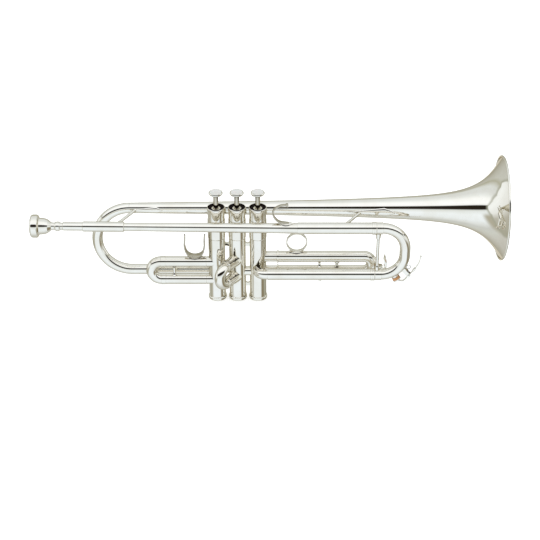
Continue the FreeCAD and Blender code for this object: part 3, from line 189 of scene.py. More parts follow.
def add_ends(tree, x, z, around, wall):
    """The tent's dark hem at both ends, and the room that is seen past it."""
    ends = colour_ramp(tree, around, [(around_share(deg), end, end, end) for deg, end in TENT_ENDS])
    past = math_node(tree, "SUBTRACT", math_node(tree, "ABSOLUTE", x), ends)
    hem = math_node(tree, "SUBTRACT", step_between(tree, past, -0.05, 0.0),
                    step_between(tree, past, 0.005, 0.04))
    wall = mix_colours(tree, math_node(tree, "MULTIPLY", hem, 0.75), wall, glow(*HEM))
    height = math_node(tree, "MULTIPLY", math_node(tree, "ADD", z, 1.0), 0.5)
    room = colour_ramp(tree, height, [(share, *glow(*colour)) for share, *colour in ROOM])
    return mix_colours(tree, step_between(tree, past, -0.005, 0.02), wall, room)


def make_world():
    """A pale tent with one long dark gap that lines every tube, warm sides and a white backdrop."""
    world = bpy.data.worlds.new("studio")
    world.use_nodes = True
    tree = world.node_tree
    tree.nodes.clear()
    direction = tree.nodes.new("ShaderNodeTexCoord").outputs["Generated"]
    split = tree.nodes.new("ShaderNodeSeparateXYZ")
    tree.links.new(direction, split.inputs[0])
    x, y, z = split.outputs
    angle = math_node(tree, "ARCTAN2", z, math_node(tree, "MULTIPLY", y, -1.0))
    turned = math_node(tree, "ADD", math_node(tree, "MULTIPLY", angle, 0.5 / math.pi), around_share(0))
    around = math_node(tree, "FRACT", math_node(tree, "ADD", turned, 1.0))
    tent = add_ends(tree, x, z, around, tent_wall(tree, x, z, around))
    pitch = math.radians(CAMERA_PITCH_DEG)
    ahead = math_node(tree, "SUBTRACT", math_node(tree, "MULTIPLY", y, math.cos(pitch)),
                      math_node(tree, "MULTIPLY", z, math.sin(pitch)))
    tent = mix_colours(tree, step_between(tree, ahead, 0.945, 0.957), tent, BACKDROP)
    background = tree.nodes.new("ShaderNodeBackground")
    background.inputs["Strength"].default_value = TENT_STRENGTH
    tree.links.new(tent, background.inputs["Color"])
    output = tree.nodes.new("ShaderNodeOutputWorld")
    tree.links.new(background.outputs[0], output.inputs["Surface"])
    bpy.context.scene.world = world


def make_floor():
    """A plain pale floor under the valve caps, bright enough to vanish into the backdrop."""
    mesh = bpy.data.meshes.new("floor")
    half = FLOOR_SIZE / 2
    level = cad_box[0][2] - FLOOR_GAP
    mesh.from_pydata([(-half, -half, level), (half, -half, level), (half, half, level), (-half, half, level)],
                     [], [(0, 1, 2, 3)])
    floor = bpy.data.objects.new("floor", mesh)
    floor.visible_glossy = False
    bpy.context.scene.collection.objects.link(floor)
    material = bpy.data.materials.new("floor_white")
    material.use_nodes = True
    shader = material.node_tree.nodes["Principled BSDF"]
    shader.inputs["Base Color"].default_value = (0.90, 0.90, 0.90, 1.0)
    shader.inputs["Roughness"].default_value = 0.9
    shader.inputs["Specular IOR Level"].default_value = 0.1
    shader.inputs["Emission Color"].default_value = (1.0, 1.0, 1.0, 1.0)
    shader.inputs["Emission Strength"].default_value = 0.55
    mesh.materials.append(material)


def make_lights():
    """Two large soft boxes: one over the front, one behind."""
    for name, place, size, power in (("key_light", (-0.5, -1.6, 2.2), 1.8, 5.0),
                                     ("back_light", (0.4, 1.8, 1.8), 1.6, 3.0)):
        data = bpy.data.lights.new(name, "AREA")
        data.size = size
        data.energy = power
        light = bpy.data.objects.new(name, data)
        light.location = place
        light.rotation_euler = (LIT_POINT - Vector(place)).to_track_quat("-Z", "Y").to_euler()
        light.visible_glossy = False
        bpy.context.scene.collection.objects.link(light)


# ---- materials ---------------------------------------------------------------------------
class Recipe:
    """A node material under construction."""

    def __init__(self, name):
        self.material = bpy.data.materials.new(name)
        self.material.use_nodes = True
        self.tree = self.material.node_tree
        self.shader = self.tree.nodes["Principled BSDF"]
        self.place = self.tree.nodes.new("ShaderNodeTexCoord").outputs["Object"]

    def link(self, source, target):
        self.tree.links.new(source, target)

    def stretched(self, scale):
        """Object coordinates stretched by a scale per axis."""
        mapping = self.tree.nodes.new("ShaderNodeMapping")
        mapping.inputs["Scale"].default_value = scale
        self.link(self.place, mapping.inputs["Vector"])
        return mapping.outputs["Vector"]

    def noise(self, scale, detail=4.0, rough=0.55, coords=None):
        """Noise with features of about 1/scale metres."""
        texture = self.tree.nodes.new("ShaderNodeTexNoise")
        texture.inputs["Scale"].default_value = scale
        texture.inputs["Detail"].default_value = detail
        texture.inputs["Roughness"].default_value = rough
        self.link(coords or self.place, texture.inputs["Vector"])
        return texture.outputs["Fac"]

    def spread(self, value, low, high, out_low, out_high):
        """Map a value from one range to another, clamped."""
        return map_range(self.tree, value, low, high, out_low, out_high)

    def blend(self, factor, first, second):
        """Mix two colours; each is a socket or an RGB triple."""
        return mix_colours(self.tree, factor, first, second)

    def bump(self, height, strength, distance):
        """Give the shader a bump from a height socket."""
        node = self.tree.nodes.new("ShaderNodeBump")
        node.inputs["Strength"].default_value = strength
        node.inputs["Distance"].default_value = distance
        self.link(height, node.inputs["Height"])
        self.link(node.outputs["Normal"], self.shader.inputs["Normal"])
        return node

    def set(self, name, value):
        """Set or link one of the shader's inputs."""
        if isinstance(value, (int, float)):
            self.shader.inputs[name].default_value = value
        elif isinstance(value, tuple):
            self.shader.inputs[name].default_value = (*value, 1.0)
        else:
            self.link(value, self.shader.inputs[name])


def metal(name, bright, tarnish, edge, rough_low, rough_high, lay=(1.0, 1.0, 1.0)):
    """Polished metal: faint tarnish in patches and hollows, wiping marks and slight unevenness."""
    recipe = Recipe(name)
    recipe.set("Metallic", 1.0)
    recipe.set("Specular Tint", edge)
    clouds = recipe.noise(38.0, 5.0, 0.6)
    patches = recipe.spread(clouds, 0.42, 0.74, 0.0, 0.35)
    hollow = recipe.tree.nodes.new("ShaderNodeAmbientOcclusion")
    hollow.samples = 4
    hollow.inputs["Distance"].default_value = 0.006
    shade = recipe.spread(hollow.outputs["AO"], 0.35, 0.95, 0.75, 0.0)
    film = math_node(recipe.tree, "MAXIMUM", patches, shade)
    recipe.set("Base Color", recipe.blend(film, bright, tarnish))
    wiping = recipe.noise(520.0, 3.0, 0.7, recipe.stretched(lay))
    recipe.set("Roughness", recipe.spread(wiping, 0.3, 0.75, rough_low, rough_high))
    recipe.bump(recipe.noise(900.0, 2.0, 0.5, recipe.stretched(lay)), 0.03, 0.00002)
    return recipe.material


def felt_material():
    """Black pressed felt with a matted nap."""
    recipe = Recipe("black_felt")
    fibres = recipe.noise(2600.0, 6.0, 0.8)
    recipe.set("Base Color", recipe.blend(fibres, (0.004, 0.003, 0.003), (0.028, 0.018, 0.018)))
    recipe.set("Roughness", 0.95)
    recipe.set("Specular IOR Level", 0.05)
    recipe.bump(fibres, 0.8, 0.0003)
    return recipe.material


def cork_material():
    """Warm brown cork with dark pores and pale grain."""
    recipe = Recipe("cork")
    grain = recipe.noise(900.0, 6.0, 0.7)
    pores = recipe.tree.nodes.new("ShaderNodeTexVoronoi")
    pores.inputs["Scale"].default_value = 1500.0
    recipe.link(recipe.place, pores.inputs["Vector"])
    speck = recipe.spread(pores.outputs["Distance"], 0.08, 0.3, 1.0, 0.0)
    body = recipe.blend(grain, (0.42, 0.17, 0.055), (0.80, 0.46, 0.22))
    recipe.set("Base Color", recipe.blend(speck, body, (0.17, 0.065, 0.02)))
    recipe.set("Roughness", 0.75)
    recipe.bump(math_node(recipe.tree, "SUBTRACT", grain, speck), 0.6, 0.0003)
    return recipe.material


def pearl_material():
    """Mother of pearl: milky white with soft drifting tints."""
    recipe = Recipe("mother_of_pearl")
    drift = recipe.noise(260.0, 3.0, 0.5, recipe.stretched((1.0, 1.6, 1.0)))
    pink = recipe.blend(recipe.spread(drift, 0.35, 0.65, 0.0, 1.0), (0.90, 0.90, 0.88), (0.93, 0.86, 0.84))
    green = recipe.noise(420.0, 2.0, 0.5)
    recipe.set("Base Color", recipe.blend(recipe.spread(green, 0.5, 0.7, 0.0, 0.6), pink, (0.80, 0.90, 0.86)))
    recipe.set("Roughness", 0.16)
    recipe.set("Coat Weight", 0.6)
    recipe.set("Coat Roughness", 0.05)
    recipe.bump(drift, 0.05, 0.0001)
    return recipe.material


MATERIALS = {
    "silver_plate": metal("silver_plate", (0.935, 0.91, 0.85), (0.74, 0.68, 0.54), (0.56, 0.52, 0.42),
                          0.02, 0.05),
    # a darker silver that paints shade and dark reflections onto a few pieces
    "shade_darkened_silver": metal("shade_darkened_silver", (0.62, 0.58, 0.49), (0.40, 0.36, 0.27), (0.5, 0.46, 0.38),
                            0.03, 0.08),
    "monel": metal("monel", (0.70, 0.68, 0.64), (0.50, 0.47, 0.42), (0.9, 0.9, 0.9),
                   0.16, 0.28, (1.0, 1.0, 6.0)),
    "spring_steel": metal("spring_steel", (0.55, 0.55, 0.55), (0.35, 0.33, 0.30), (0.9, 0.9, 0.9),
                          0.15, 0.3),
    "felt": felt_material(),
    "cork": cork_material(),
    "pearl": pearl_material(),
}
# nodes and pieces painted a darker silver than their slot's: painted shade on the valve stems under the buttons,
# painted dark reflections on the thin blades of the finger hook and thumb saddle
SHADE_DARKENED = ("valve_stem_1", "valve_stem_2", "valve_stem_3", "little_finger_hook", "thumb_saddle_blade")


def dress_cad_nodes():
    """Give every CAD node the procedural material of its slot."""
    slot_of = {row["node"]: row["material_slot"] for row in frame["record"]["subparts"]}
    for name, obj in NODES.items():
        material = MATERIALS["shade_darkened_silver" if name in SHADE_DARKENED else slot_of[name]]
        if not obj.material_slots:
            obj.data.materials.append(material)
        for slot in obj.material_slots:
            slot.material = material


# ---- mesh tools --------------------------------------------------------------------------
DOME_SHARE = 0.7


def add_object(name, bm, smooth_deg=35.0):
    """Turn a bmesh into a linked object with smooth faces and sharp edges past an angle."""
    bmesh.ops.recalc_face_normals(bm, faces=bm.faces)
    mesh = bpy.data.meshes.new(name)
    bm.to_mesh(mesh)
    bm.free()
    mesh.polygons.foreach_set("use_smooth", [True] * len(mesh.polygons))
    mesh.set_sharp_from_angle(angle=math.radians(smooth_deg))
    obj = bpy.data.objects.new(name, mesh)
    bpy.context.scene.collection.objects.link(obj)
    return obj


def place(obj, body, slot, *nodes):
    """Give a piece its body and the material of its slot, and hide the CAD nodes that it stands for."""
    obj.data.materials.append(MATERIALS["shade_darkened_silver" if obj.name in SHADE_DARKENED else slot])
    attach(obj, body)
    if nodes:
        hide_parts(*nodes)


def join(name, objects):
    """Join several mesh objects into one."""
    bm = bmesh.new()
    for obj in objects:
        bm.from_mesh(obj.data)
        bpy.data.objects.remove(obj)
    return add_object(name, bm)


def rounded(outline, radius, closed=True, steps=3):
    """Replace an outline's corners by small arcs of about the given radius."""
    points = [Vector(point) for point in outline]
    count = len(points)
    result = []
    for index, corner in enumerate(points):
        if not closed and index in (0, count - 1):
            result.append(corner)
            continue
        before = points[index - 1] - corner
        after = points[(index + 1) % count] - corner
        if corner.y <= 1e-9 or before.length < 1e-9 or after.length < 1e-9:
            result.append(corner)
            continue
        turn = math.pi - before.angle(after)
        if turn < math.radians(12.0):
            result.append(corner)
            continue
        cut = min(radius * math.tan(turn / 2), 0.45 * before.length, 0.45 * after.length)
        start = corner + before.normalized() * cut
        end = corner + after.normalized() * cut
        for step in range(steps + 1):
            share = step / steps
            result.append(start.lerp(corner, share).lerp(corner.lerp(end, share), share))
    return result


def lathe(name, outline, base, axis, segments=128, smooth_deg=35.0):
    """Revolve a closed outline of (along, radius) points in millimetres about an axis."""
    axis = Vector(axis).normalized()
    side = axis.orthogonal().normalized()
    other = axis.cross(side)
    base = Vector(base)
    bm = bmesh.new()
    rings = []
    for along, radius in outline:
        centre = (base + axis * along) * MM
        if radius < 1e-6:
            rings.append([bm.verts.new(centre)])
            continue
        ring = []
        for step in range(segments):
            turn = 2 * math.pi * step / segments
            ring.append(bm.verts.new(centre + (side * math.cos(turn) + other * math.sin(turn)) * radius * MM))
        rings.append(ring)
    bridge_rings(bm, rings, closed=True)
    return add_object(name, bm, smooth_deg)


def bridge_rings(bm, rings, closed):
    """Join each ring of vertices to the next; a ring of one vertex is a pole."""
    last = len(rings) if closed else len(rings) - 1
    for index in range(last):
        first, second = rings[index], rings[(index + 1) % len(rings)]
        if len(first) == 1 and len(second) == 1:
            continue
        count = max(len(first), len(second))
        for step in range(count):
            after = (step + 1) % count
            corners = [first[step % len(first)], first[after % len(first)],
                       second[after % len(second)], second[step % len(second)]]
            unique = list(dict.fromkeys(corners))
            if len(unique) > 2:
                bm.faces.new(unique)


def arc_path(points, bend_radii, step_deg=4.0):
    """Points along straight runs joined by tangent arcs."""
    points = [Vector(point) for point in points]
    path = [points[0]]
    for index, bend_r in enumerate(bend_radii):
        corner = points[index + 1]
        into = (corner - points[index]).normalized()
        out = (points[index + 2] - corner).normalized()
        turn = into.angle(out)
        setback = bend_r * math.tan(turn / 2)
        arc_start = corner - into * setback
        inward = (out - into * into.dot(out)).normalized()
        centre = arc_start + inward * bend_r
        steps = max(2, round(math.degrees(turn) / step_deg))
        for step in range(steps + 1):
            angle = turn * step / steps
            path.append(centre + into * math.sin(angle) * bend_r - inward * math.cos(angle) * bend_r)
    path.append(points[-1])
    clean = [path[0]]
    for point in path[1:]:
        if (point - clean[-1]).length > 1e-4:
            clean.append(point)
    return clean


def frames_along(path):
    """Tangent and two cross directions at each point of a path, carried without twist."""
    tangents = []
    for index in range(len(path)):
        before = path[max(index - 1, 0)]
        after = path[min(index + 1, len(path) - 1)]
        tangents.append((after - before).normalized())
    normal = tangents[0].orthogonal().normalized()
    frames = []
    for index, tangent in enumerate(tangents):
        if index:
            normal = tangents[index - 1].rotation_difference(tangent) @ normal
        normal = (normal - tangent * normal.dot(tangent)).normalized()
        frames.append((tangent, normal, tangent.cross(normal)))
    return frames


def ring_at(bm, centre, normal, other, radius, segments):
    """A ring of vertices around a centre, in millimetres."""
    ring = []
    for step in range(segments):
        turn = 2 * math.pi * step / segments
        offset = (normal * math.cos(turn) + other * math.sin(turn)) * radius
        ring.append(bm.verts.new((centre + offset) * MM))
    return ring


def pipe(name, path, outer_r, inner_r, segments=72, smooth_deg=35.0):
    """A hollow tube along a path: outer skin, bore and the two end rings."""
    bm = bmesh.new()
    outer = []
    inner = []
    for centre, (_, normal, other) in zip(path, frames_along(path)):
        outer.append(ring_at(bm, centre, normal, other, outer_r, segments))
        inner.append(ring_at(bm, centre, normal, other, inner_r, segments))
    bridge_rings(bm, outer + inner[::-1], closed=True)
    return add_object(name, bm, smooth_deg)


def wire(name, path, radius, segments=20, closed=False):
    """A solid round wire with domed ends, or a closed loop of wire."""
    bm = bmesh.new()
    frames = frames_along(path)
    rings = [ring_at(bm, centre, normal, other, radius, segments)
             for centre, (_, normal, other) in zip(path, frames)]
    if closed:
        bridge_rings(bm, rings, closed=True)
        return add_object(name, bm, 60.0)
    start_tangent, start_normal, start_other = frames[0]
    end_tangent, end_normal, end_other = frames[-1]
    dome = radius * DOME_SHARE
    head = [[bm.verts.new((path[0] - start_tangent * radius) * MM)],
            ring_at(bm, path[0] - start_tangent * dome, start_normal, start_other, dome, segments)]
    tail = [ring_at(bm, path[-1] + end_tangent * dome, end_normal, end_other, dome, segments),
            [bm.verts.new((path[-1] + end_tangent * radius) * MM)]]
    bridge_rings(bm, head + rings + tail, closed=False)
    return add_object(name, bm, 60.0)


def smooth_curve(points, per_span=8):
    """Catmull-Rom points through given ones."""
    points = [Vector(point) for point in points]
    ends = [points[0] * 2 - points[1]] + points + [points[-1] * 2 - points[-2]]
    result = []
    for index in range(1, len(ends) - 2):
        before, start, end, after = ends[index - 1:index + 3]
        for step in range(per_span):
            t = step / per_span
            result.append(0.5 * (2 * start + (end - before) * t
                                 + (2 * before - 5 * start + 4 * end - after) * t * t
                                 + (3 * start - before - 3 * end + after) * t ** 3))
    result.append(points[-1])
    return result


def part_way(values, share):
    """The value at a share of the way through a list of evenly spread ones."""
    spot = share * (len(values) - 1)
    low = min(int(spot), len(values) - 2)
    return values[low] + (values[low + 1] - values[low]) * (spot - low)


def strip(name, centre_line, half_widths, half_thick, across, section=20):
    """A flat strip with rounded edges that follows a curve; its half width changes along it."""
    across = Vector(across).normalized()
    bm = bmesh.new()
    rings = []
    total = len(centre_line) - 1
    for index, centre in enumerate(centre_line):
        before = centre_line[max(index - 1, 0)]
        after = centre_line[min(index + 1, total)]
        tangent = (after - before).normalized()
        normal = tangent.cross(across).normalized()
        half = part_way(half_widths, index / total)
        thick = half_thick
        if index in (0, total):
            half *= 0.72
            thick *= 0.55
        ring = []
        for step in range(section):
            turn = 2 * math.pi * step / section
            wide = math.copysign(abs(math.cos(turn)) ** 0.45, math.cos(turn)) * half
            deep = math.copysign(abs(math.sin(turn)) ** 0.7, math.sin(turn)) * thick
            ring.append(bm.verts.new((centre + across * wide + normal * deep) * MM))
        rings.append(ring)
    bridge_rings(bm, rings, closed=False)
    bm.faces.new(rings[0])
    bm.faces.new(rings[-1])
    return add_object(name, bm, 50.0)


# ---- places read from the frame ----------------------------------------------------------
def corners(node):
    """A node's lowest and highest corners in millimetres."""
    low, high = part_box(node)
    return low / MM, high / MM


def middle(node):
    """The centre of a node's box in millimetres."""
    low, high = corners(node)
    return (low + high) / 2


def joint_vector(name, key):
    """A joint's axis, or its place in metres, from the frame."""
    return Vector(next(joint[key] for joint in frame["joints"] if joint["name"] == name))


STEM_LOW = corners("bell_stem")[0]
FLARE_HIGH = corners("bell_flare")[1]
RIM_R = (FLARE_HIGH.z - corners("bell_flare")[0].z) / 2
RIM_WIRE_R = 1.2
BELL_RIM_X = FLARE_HIGH.x - 0.3
BELL_LENGTH = BELL_RIM_X - STEM_LOW.x
BELL_AXIS = middle("bell_flare").yz
VALVE_X = [middle(f"valve_stem_{number}").x for number in (1, 2, 3)]
X_AXIS = Vector((1.0, 0.0, 0.0))
Y_AXIS = Vector((0.0, 1.0, 0.0))
Z_AXIS = Vector((0.0, 0.0, 1.0))
TUBE_WALL = 0.5
FIRST_SLEEVE_R = 6.7
THIRD_SLEEVE_R = 7.5
RING_R = 12.4
MAIN_BEND_R = 26.8
BOW_LEG = Vector((15.0, 29.9))
BOW_R = 6.2
TAIL_BEND_R = 8.0
LEAD_RISE = math.radians(0.57)
LEAD_WAY = Vector((math.cos(LEAD_RISE), 0.0, -math.sin(LEAD_RISE)))
SLIDE_START = Vector((69.9, *middle("upper_slide_tube").yz))
SECOND_SLEEVE_END = 22.0
SECOND_CROOK_START = 27.2
SECOND_FERRULE_R = 7.0
SECOND_OFFSET = 1.4


def lead_point(along):
    """A point on the leadpipe's axis, which rises a little towards the player."""
    return SLIDE_START + LEAD_WAY * (along - SLIDE_START.x)


# ---- bell and bow ------------------------------------------------------------------------
HORN_SCALE, HORN_OFFSET, HORN_POWER = 431.7, 57.0, -0.6756
FLARE_RISE, FLARE_FADE = 33.2, 20.2
STEM_TRIM = 0.33
POLISH_DEPTH = 6.0
DARKEST_DEPTH = 60.0


def bell_radius(back):
    """Outer radius of the bell at a distance behind its rim: a horn curve and a flare."""
    horn = HORN_SCALE * (back + HORN_OFFSET) ** HORN_POWER
    flare = FLARE_RISE * math.exp(-back / FLARE_FADE)
    return horn + flare - STEM_TRIM * (back / BELL_LENGTH) ** 4


def throat_material():
    """The inside of the bell: polished at the rim, and darker, browner, rougher and less metallic the deeper it
    lies.
    """
    recipe = Recipe("bell_inside")
    split = recipe.tree.nodes.new("ShaderNodeSeparateXYZ")
    recipe.link(recipe.place, split.inputs["Vector"])
    darkest_x = (BELL_RIM_X - DARKEST_DEPTH) * MM
    depth = recipe.spread(split.outputs["X"], darkest_x, (BELL_RIM_X - POLISH_DEPTH) * MM, 1.0, 0.0)
    film = recipe.noise(60.0, 4.0, 0.6)
    polished = recipe.blend(film, (0.93, 0.90, 0.84), (0.86, 0.82, 0.73))
    # the colour deep in the throat: darker and browner
    deep_colour = recipe.blend(film, (0.34, 0.29, 0.20), (0.25, 0.20, 0.13))
    recipe.set("Base Color", recipe.blend(depth, polished, deep_colour))
    recipe.set("Metallic", recipe.spread(depth, 0.0, 1.0, 1.0, 0.35))
    recipe.set("Roughness", recipe.spread(depth, 0.0, 1.0, 0.03, 0.4))
    return recipe.material


def bell_wall():
    """The bell's thin spun wall and the wire rolled into its rim."""
    steps = 180
    outside = []
    for step in range(steps + 1):
        back = BELL_LENGTH * (step / steps) ** 2.2
        outside.append(Vector((BELL_RIM_X - back, bell_radius(back))))
    inside = []
    for index, point in enumerate(outside):
        before = outside[max(index - 1, 0)]
        after = outside[min(index + 1, steps)]
        along = (after - before).normalized()
        inward = Vector((along.y, -along.x))
        if inward.y > 0:
            inward = -inward
        inside.append(point + inward * TUBE_WALL)
    base = (0.0, *BELL_AXIS)
    wire_r = RIM_R - RIM_WIRE_R
    horn = lathe("bell_horn", outside + inside[::-1], base, X_AXIS, 256)
    place(horn, "horn", "silver_plate", "bell_stem", "bell_flare")
    horn.data.materials.append(throat_material())
    for face in horn.data.polygons:
        centre = face.center / MM - Vector(base)
        across = Vector((centre.y, centre.z)).length
        if face.normal.dot(Vector((0.0, centre.y, centre.z))) < 0 and across < wire_r:
            face.material_index = 1
    turns = [2 * math.pi * step / 24 for step in range(24)]
    wire_x = FLARE_HIGH.x - RIM_WIRE_R
    rim = [(wire_x + math.cos(turn) * RIM_WIRE_R, wire_r + math.sin(turn) * RIM_WIRE_R) for turn in turns]
    place(lathe("bell_rim_wire", rim, base, X_AXIS, 256, 80.0), "horn", "silver_plate", "bell_flare")


def bell_bow():
    """Half circle behind the bell, its lower leg and the elbow into the first valve."""
    top = Vector((STEM_LOW.x, *BELL_AXIS))
    low = Vector((STEM_LOW.x, *BOW_LEG))
    centre = (top + low) / 2
    lean = (top - low) / 2
    path = [centre + lean * math.cos(math.radians(turn)) - X_AXIS * lean.length * math.sin(math.radians(turn))
            for turn in range(0, 181, 3)]
    valve_x = VALVE_X[0]
    tail = arc_path([low, (valve_x, *BOW_LEG), (valve_x, 6.9, BOW_LEG.y)], [TAIL_BEND_R], 6.0)
    obj = pipe("bell_bow_tube", path + tail[1:], BOW_R, BOW_R - TUBE_WALL, 80)
    place(obj, "horn", "silver_plate", "bell_bow")


# ---- crooks ------------------------------------------------------------------------------
def crook_path(node, sign, bend_r=None):
    """Centre line of a U-shaped crook that opens along X, read from its CAD box."""
    low, high = corners(node)
    radius = (high.y - low.y) / 2
    y = (high.y + low.y) / 2
    top = high.z - radius
    bottom = low.z + radius
    start = low.x if sign > 0 else high.x
    far = high.x - radius if sign > 0 else low.x + radius
    bend = bend_r or (top - bottom) / 2
    points = [(start, y, top), (far, y, top), (far, y, bottom), (start, y, bottom)]
    return arc_path(points, [bend, bend]), radius


def crooks():
    """The U-shaped crooks of the tuning slide, the first slide and the third slide."""
    for name, node, body, sign, bend_r in (
            ("tuning_crook_tube", "tuning_slide_crook", "tuning_slide", 1, MAIN_BEND_R),
            ("first_crook_tube", "first_slide_crook", "first_slide", -1, None),
            ("third_crook_tube", "third_slide_crook", "third_slide", 1, None)):
        path, radius = crook_path(node, sign, bend_r)
        place(pipe(name, path, radius, radius - TUBE_WALL, 80), body, "silver_plate", node)


def second_crook():
    """The second slide's crook, turned towards the player, with its two ferrules."""
    direction = joint_vector("second_slide_pull", "axis")
    radius = 6.3
    low, high = corners("second_slide_crook")
    top = high.z - SECOND_FERRULE_R
    bottom = low.z + SECOND_FERRULE_R
    bend = (top - bottom) / 2
    sideways = Vector((-direction.y, direction.x, 0.0))
    axis_point = Vector((VALVE_X[1], 0.0, 0.0)) + sideways * SECOND_OFFSET
    start = axis_point + direction * SECOND_CROOK_START
    far = start + direction * bend
    up, down = Z_AXIS * top, Z_AXIS * bottom
    path = arc_path([start + up, far + up, far + down, start + down], [bend, bend])
    pieces = [pipe("second_bend", path, radius, radius - TUBE_WALL, 80)]
    for height in (up, down):
        ring_end = SECOND_CROOK_START + 0.4
        ring = rounded([(SECOND_SLEEVE_END, 6.0), (SECOND_SLEEVE_END, SECOND_FERRULE_R),
                        (ring_end, SECOND_FERRULE_R), (ring_end, 6.0)], 0.35)
        pieces.append(lathe("second_ferrule", ring, axis_point + height, direction, 80))
    place(join("second_crook_tube", pieces), "second_slide", "silver_plate", "second_slide_crook")


# ---- mouthpiece --------------------------------------------------------------------------
def mouthpiece():
    """Turned mouthpiece with a rounded rim, a cup, a throat and a flared backbore."""
    rim_x = -236.7
    tip = 86.7
    bore = [(tip, 3.7), (31.7, 1.83), (20.7, 1.83), (17.7, 3.6), (13.2, 5.9), (7.7, 7.5), (3.5, 8.1)]
    rim = [(1.6, 8.5), (0.4, 9.2), (0.0, 10.1), (0.2, 11.2), (0.8, 12.3), (1.7, 13.05), (2.9, 13.4),
           (7.7, 13.4), (8.7, 12.9), (9.4, 11.6)]
    cup = [(10.1, 9.8), (14.1, 9.5), (17.1, 9.0), (20.1, 7.8), (22.3, 6.0), (24.0, 4.6), (27.3, 4.2)]
    shank = [(28.5, 4.9), (29.8, 5.5), (32.3, 5.5), (33.6, 4.9), (34.7, 4.2), (36.7, 4.2), (37.5, 4.9),
             (60.2, 4.9), (tip, 4.2)]
    outline = [(rim_x + back, radius) for back, radius in bore + rim + cup + shank]
    obj = lathe("mouthpiece_body", rounded(outline, 0.9, steps=4), lead_point(0.0), LEAD_WAY, 128, 50.0)
    place(obj, "mouthpiece", "silver_plate", "mouthpiece")


# ---- valve tops and bottoms --------------------------------------------------------------
def top_caps():
    """Screwed top caps: flange, recess for the felt and the collar round the stem."""
    low, high = corners("top_caps")
    skirt, top = low.z, high.z
    caps = []
    for x in VALVE_X:
        outline = [(skirt, 9.35), (skirt, 9.9), (top - 4.3, 9.9), (top - 3.7, 10.4), (top - 0.5, 10.4),
                   (top, 10.1), (top, 9.72), (top - 3.1, 9.7), (top - 3.1, 5.2), (top - 1.3, 5.2),
                   (top - 1.3, 2.95), (top - 5.9, 2.95), (top - 5.9, 9.35)]
        caps.append(lathe("cap", rounded(outline, 0.25), (x, 0.0, 0.0), Z_AXIS, 96))
    place(join("valve_top_caps", caps), "horn", "silver_plate", "top_caps")


def bottom_caps():
    """Screwed bottom caps with a rolled edge and a smooth raised band where the caps are knurled."""
    low, high = corners("bottom_caps")
    caps = []
    for x in VALVE_X:
        outline = [(0.0, 0.0), (0.0, 9.9), (0.4, 10.5), (1.2, 10.8), (3.2, 10.8), (4.0, 10.5), (high.z, 10.0),
                   (high.z, 9.35), (1.6, 9.35), (1.6, 0.0)]
        caps.append(lathe("cap", rounded(outline, 0.3), (x, 0.0, low.z), Z_AXIS, 96))
    place(join("valve_bottom_caps", caps), "horn", "silver_plate", "bottom_caps")


NAP_SCALE = 900.0
NAP_HEIGHT = 0.05 * MM


def felts():
    """Matted felt rings: one in each cap's recess and one under each cap."""
    low, high = corners("cap_felts")
    rings = []
    for x in VALVE_X:
        for foot, head, outer, inner in ((high.z - 1.8, high.z, 9.6, 5.3), (low.z, low.z + 2.5, 8.2, 3.05)):
            outline = rounded([(foot, inner), (foot, outer), (head, outer), (head, inner)], 0.7, steps=4)
            rings.append(lathe("ring", outline, (x, 0.0, 0.0), Z_AXIS, 160))
    obj = join("felt_rings", rings)
    for vertex in obj.data.vertices:
        spot = vertex.co * NAP_SCALE
        vertex.co.z += math.sin(spot.x * 2.1 + spot.z) * math.sin(spot.y * 2.7) * NAP_HEIGHT
    place(obj, "horn", "felt", "cap_felts")


def finger_buttons():
    """Turned finger buttons with a rounded edge, each with its inlaid pearl."""
    for number, x in enumerate(VALVE_X, 1):
        low, high = corners(f"finger_button_{number}")
        base, top = low.z, high.z
        outline = [(base + 1.0, 0.0), (base + 1.0, 2.85), (base, 2.9), (base, 5.4), (base + 0.5, 6.7),
                   (base + 1.3, 7.7), (base + 2.2, 8.2), (base + 3.1, 8.2), (top - 0.3, 7.8), (top, 7.3),
                   (top, 6.9), (top - 0.9, 6.9), (top - 0.9, 0.0)]
        button = lathe(f"button_{number}", rounded(outline, 0.3), (x, 0.0, 0.0), Z_AXIS, 96)
        place(button, f"piston_{number}", "silver_plate", f"finger_button_{number}")
        dish = [(top - 0.9, 0.0), (top - 0.9, 6.9), (top - 0.12, 6.85), (top - 0.2, 5.6), (top - 0.28, 4.2),
                (top - 0.36, 2.2), (top - 0.4, 0.0)]
        pearl = lathe(f"pearl_{number}", rounded(dish, 0.15), (x, 0.0, 0.0), Z_AXIS, 96)
        place(pearl, f"piston_{number}", "pearl", f"button_pearl_{number}")


# ---- hand fittings -----------------------------------------------------------------------
def leaf(name, centre, way, length, half_width, tube_r, facing, thick=0.9):
    """A pointed leaf wrapped on a tube that runs along way, with its edge thinned; facing is (y, z)."""
    facing = Vector((0.0, *facing)).normalized()
    side = way.cross(facing)
    bm = bmesh.new()
    long_steps, wide_steps = 40, 12
    skins = {}
    for level in (0, 1):
        for i in range(long_steps + 1):
            share = 2 * i / long_steps - 1
            half = half_width * (1 - abs(share) ** 1.7) + 0.08
            for j in range(wide_steps + 1):
                across = (2 * j / wide_steps - 1) * half
                edge = (1 - abs(2 * j / wide_steps - 1) ** 4) * (1 - abs(share) ** 6)
                radius = tube_r + level * (0.15 + thick * edge)
                turn = across / tube_r
                spot = centre + way * (share * length / 2)
                spot += (facing * math.cos(turn) + side * math.sin(turn)) * radius
                skins[level, i, j] = bm.verts.new(spot * MM)
    close_skins(bm, skins, long_steps, wide_steps)
    return add_object(name, bm, 50.0)


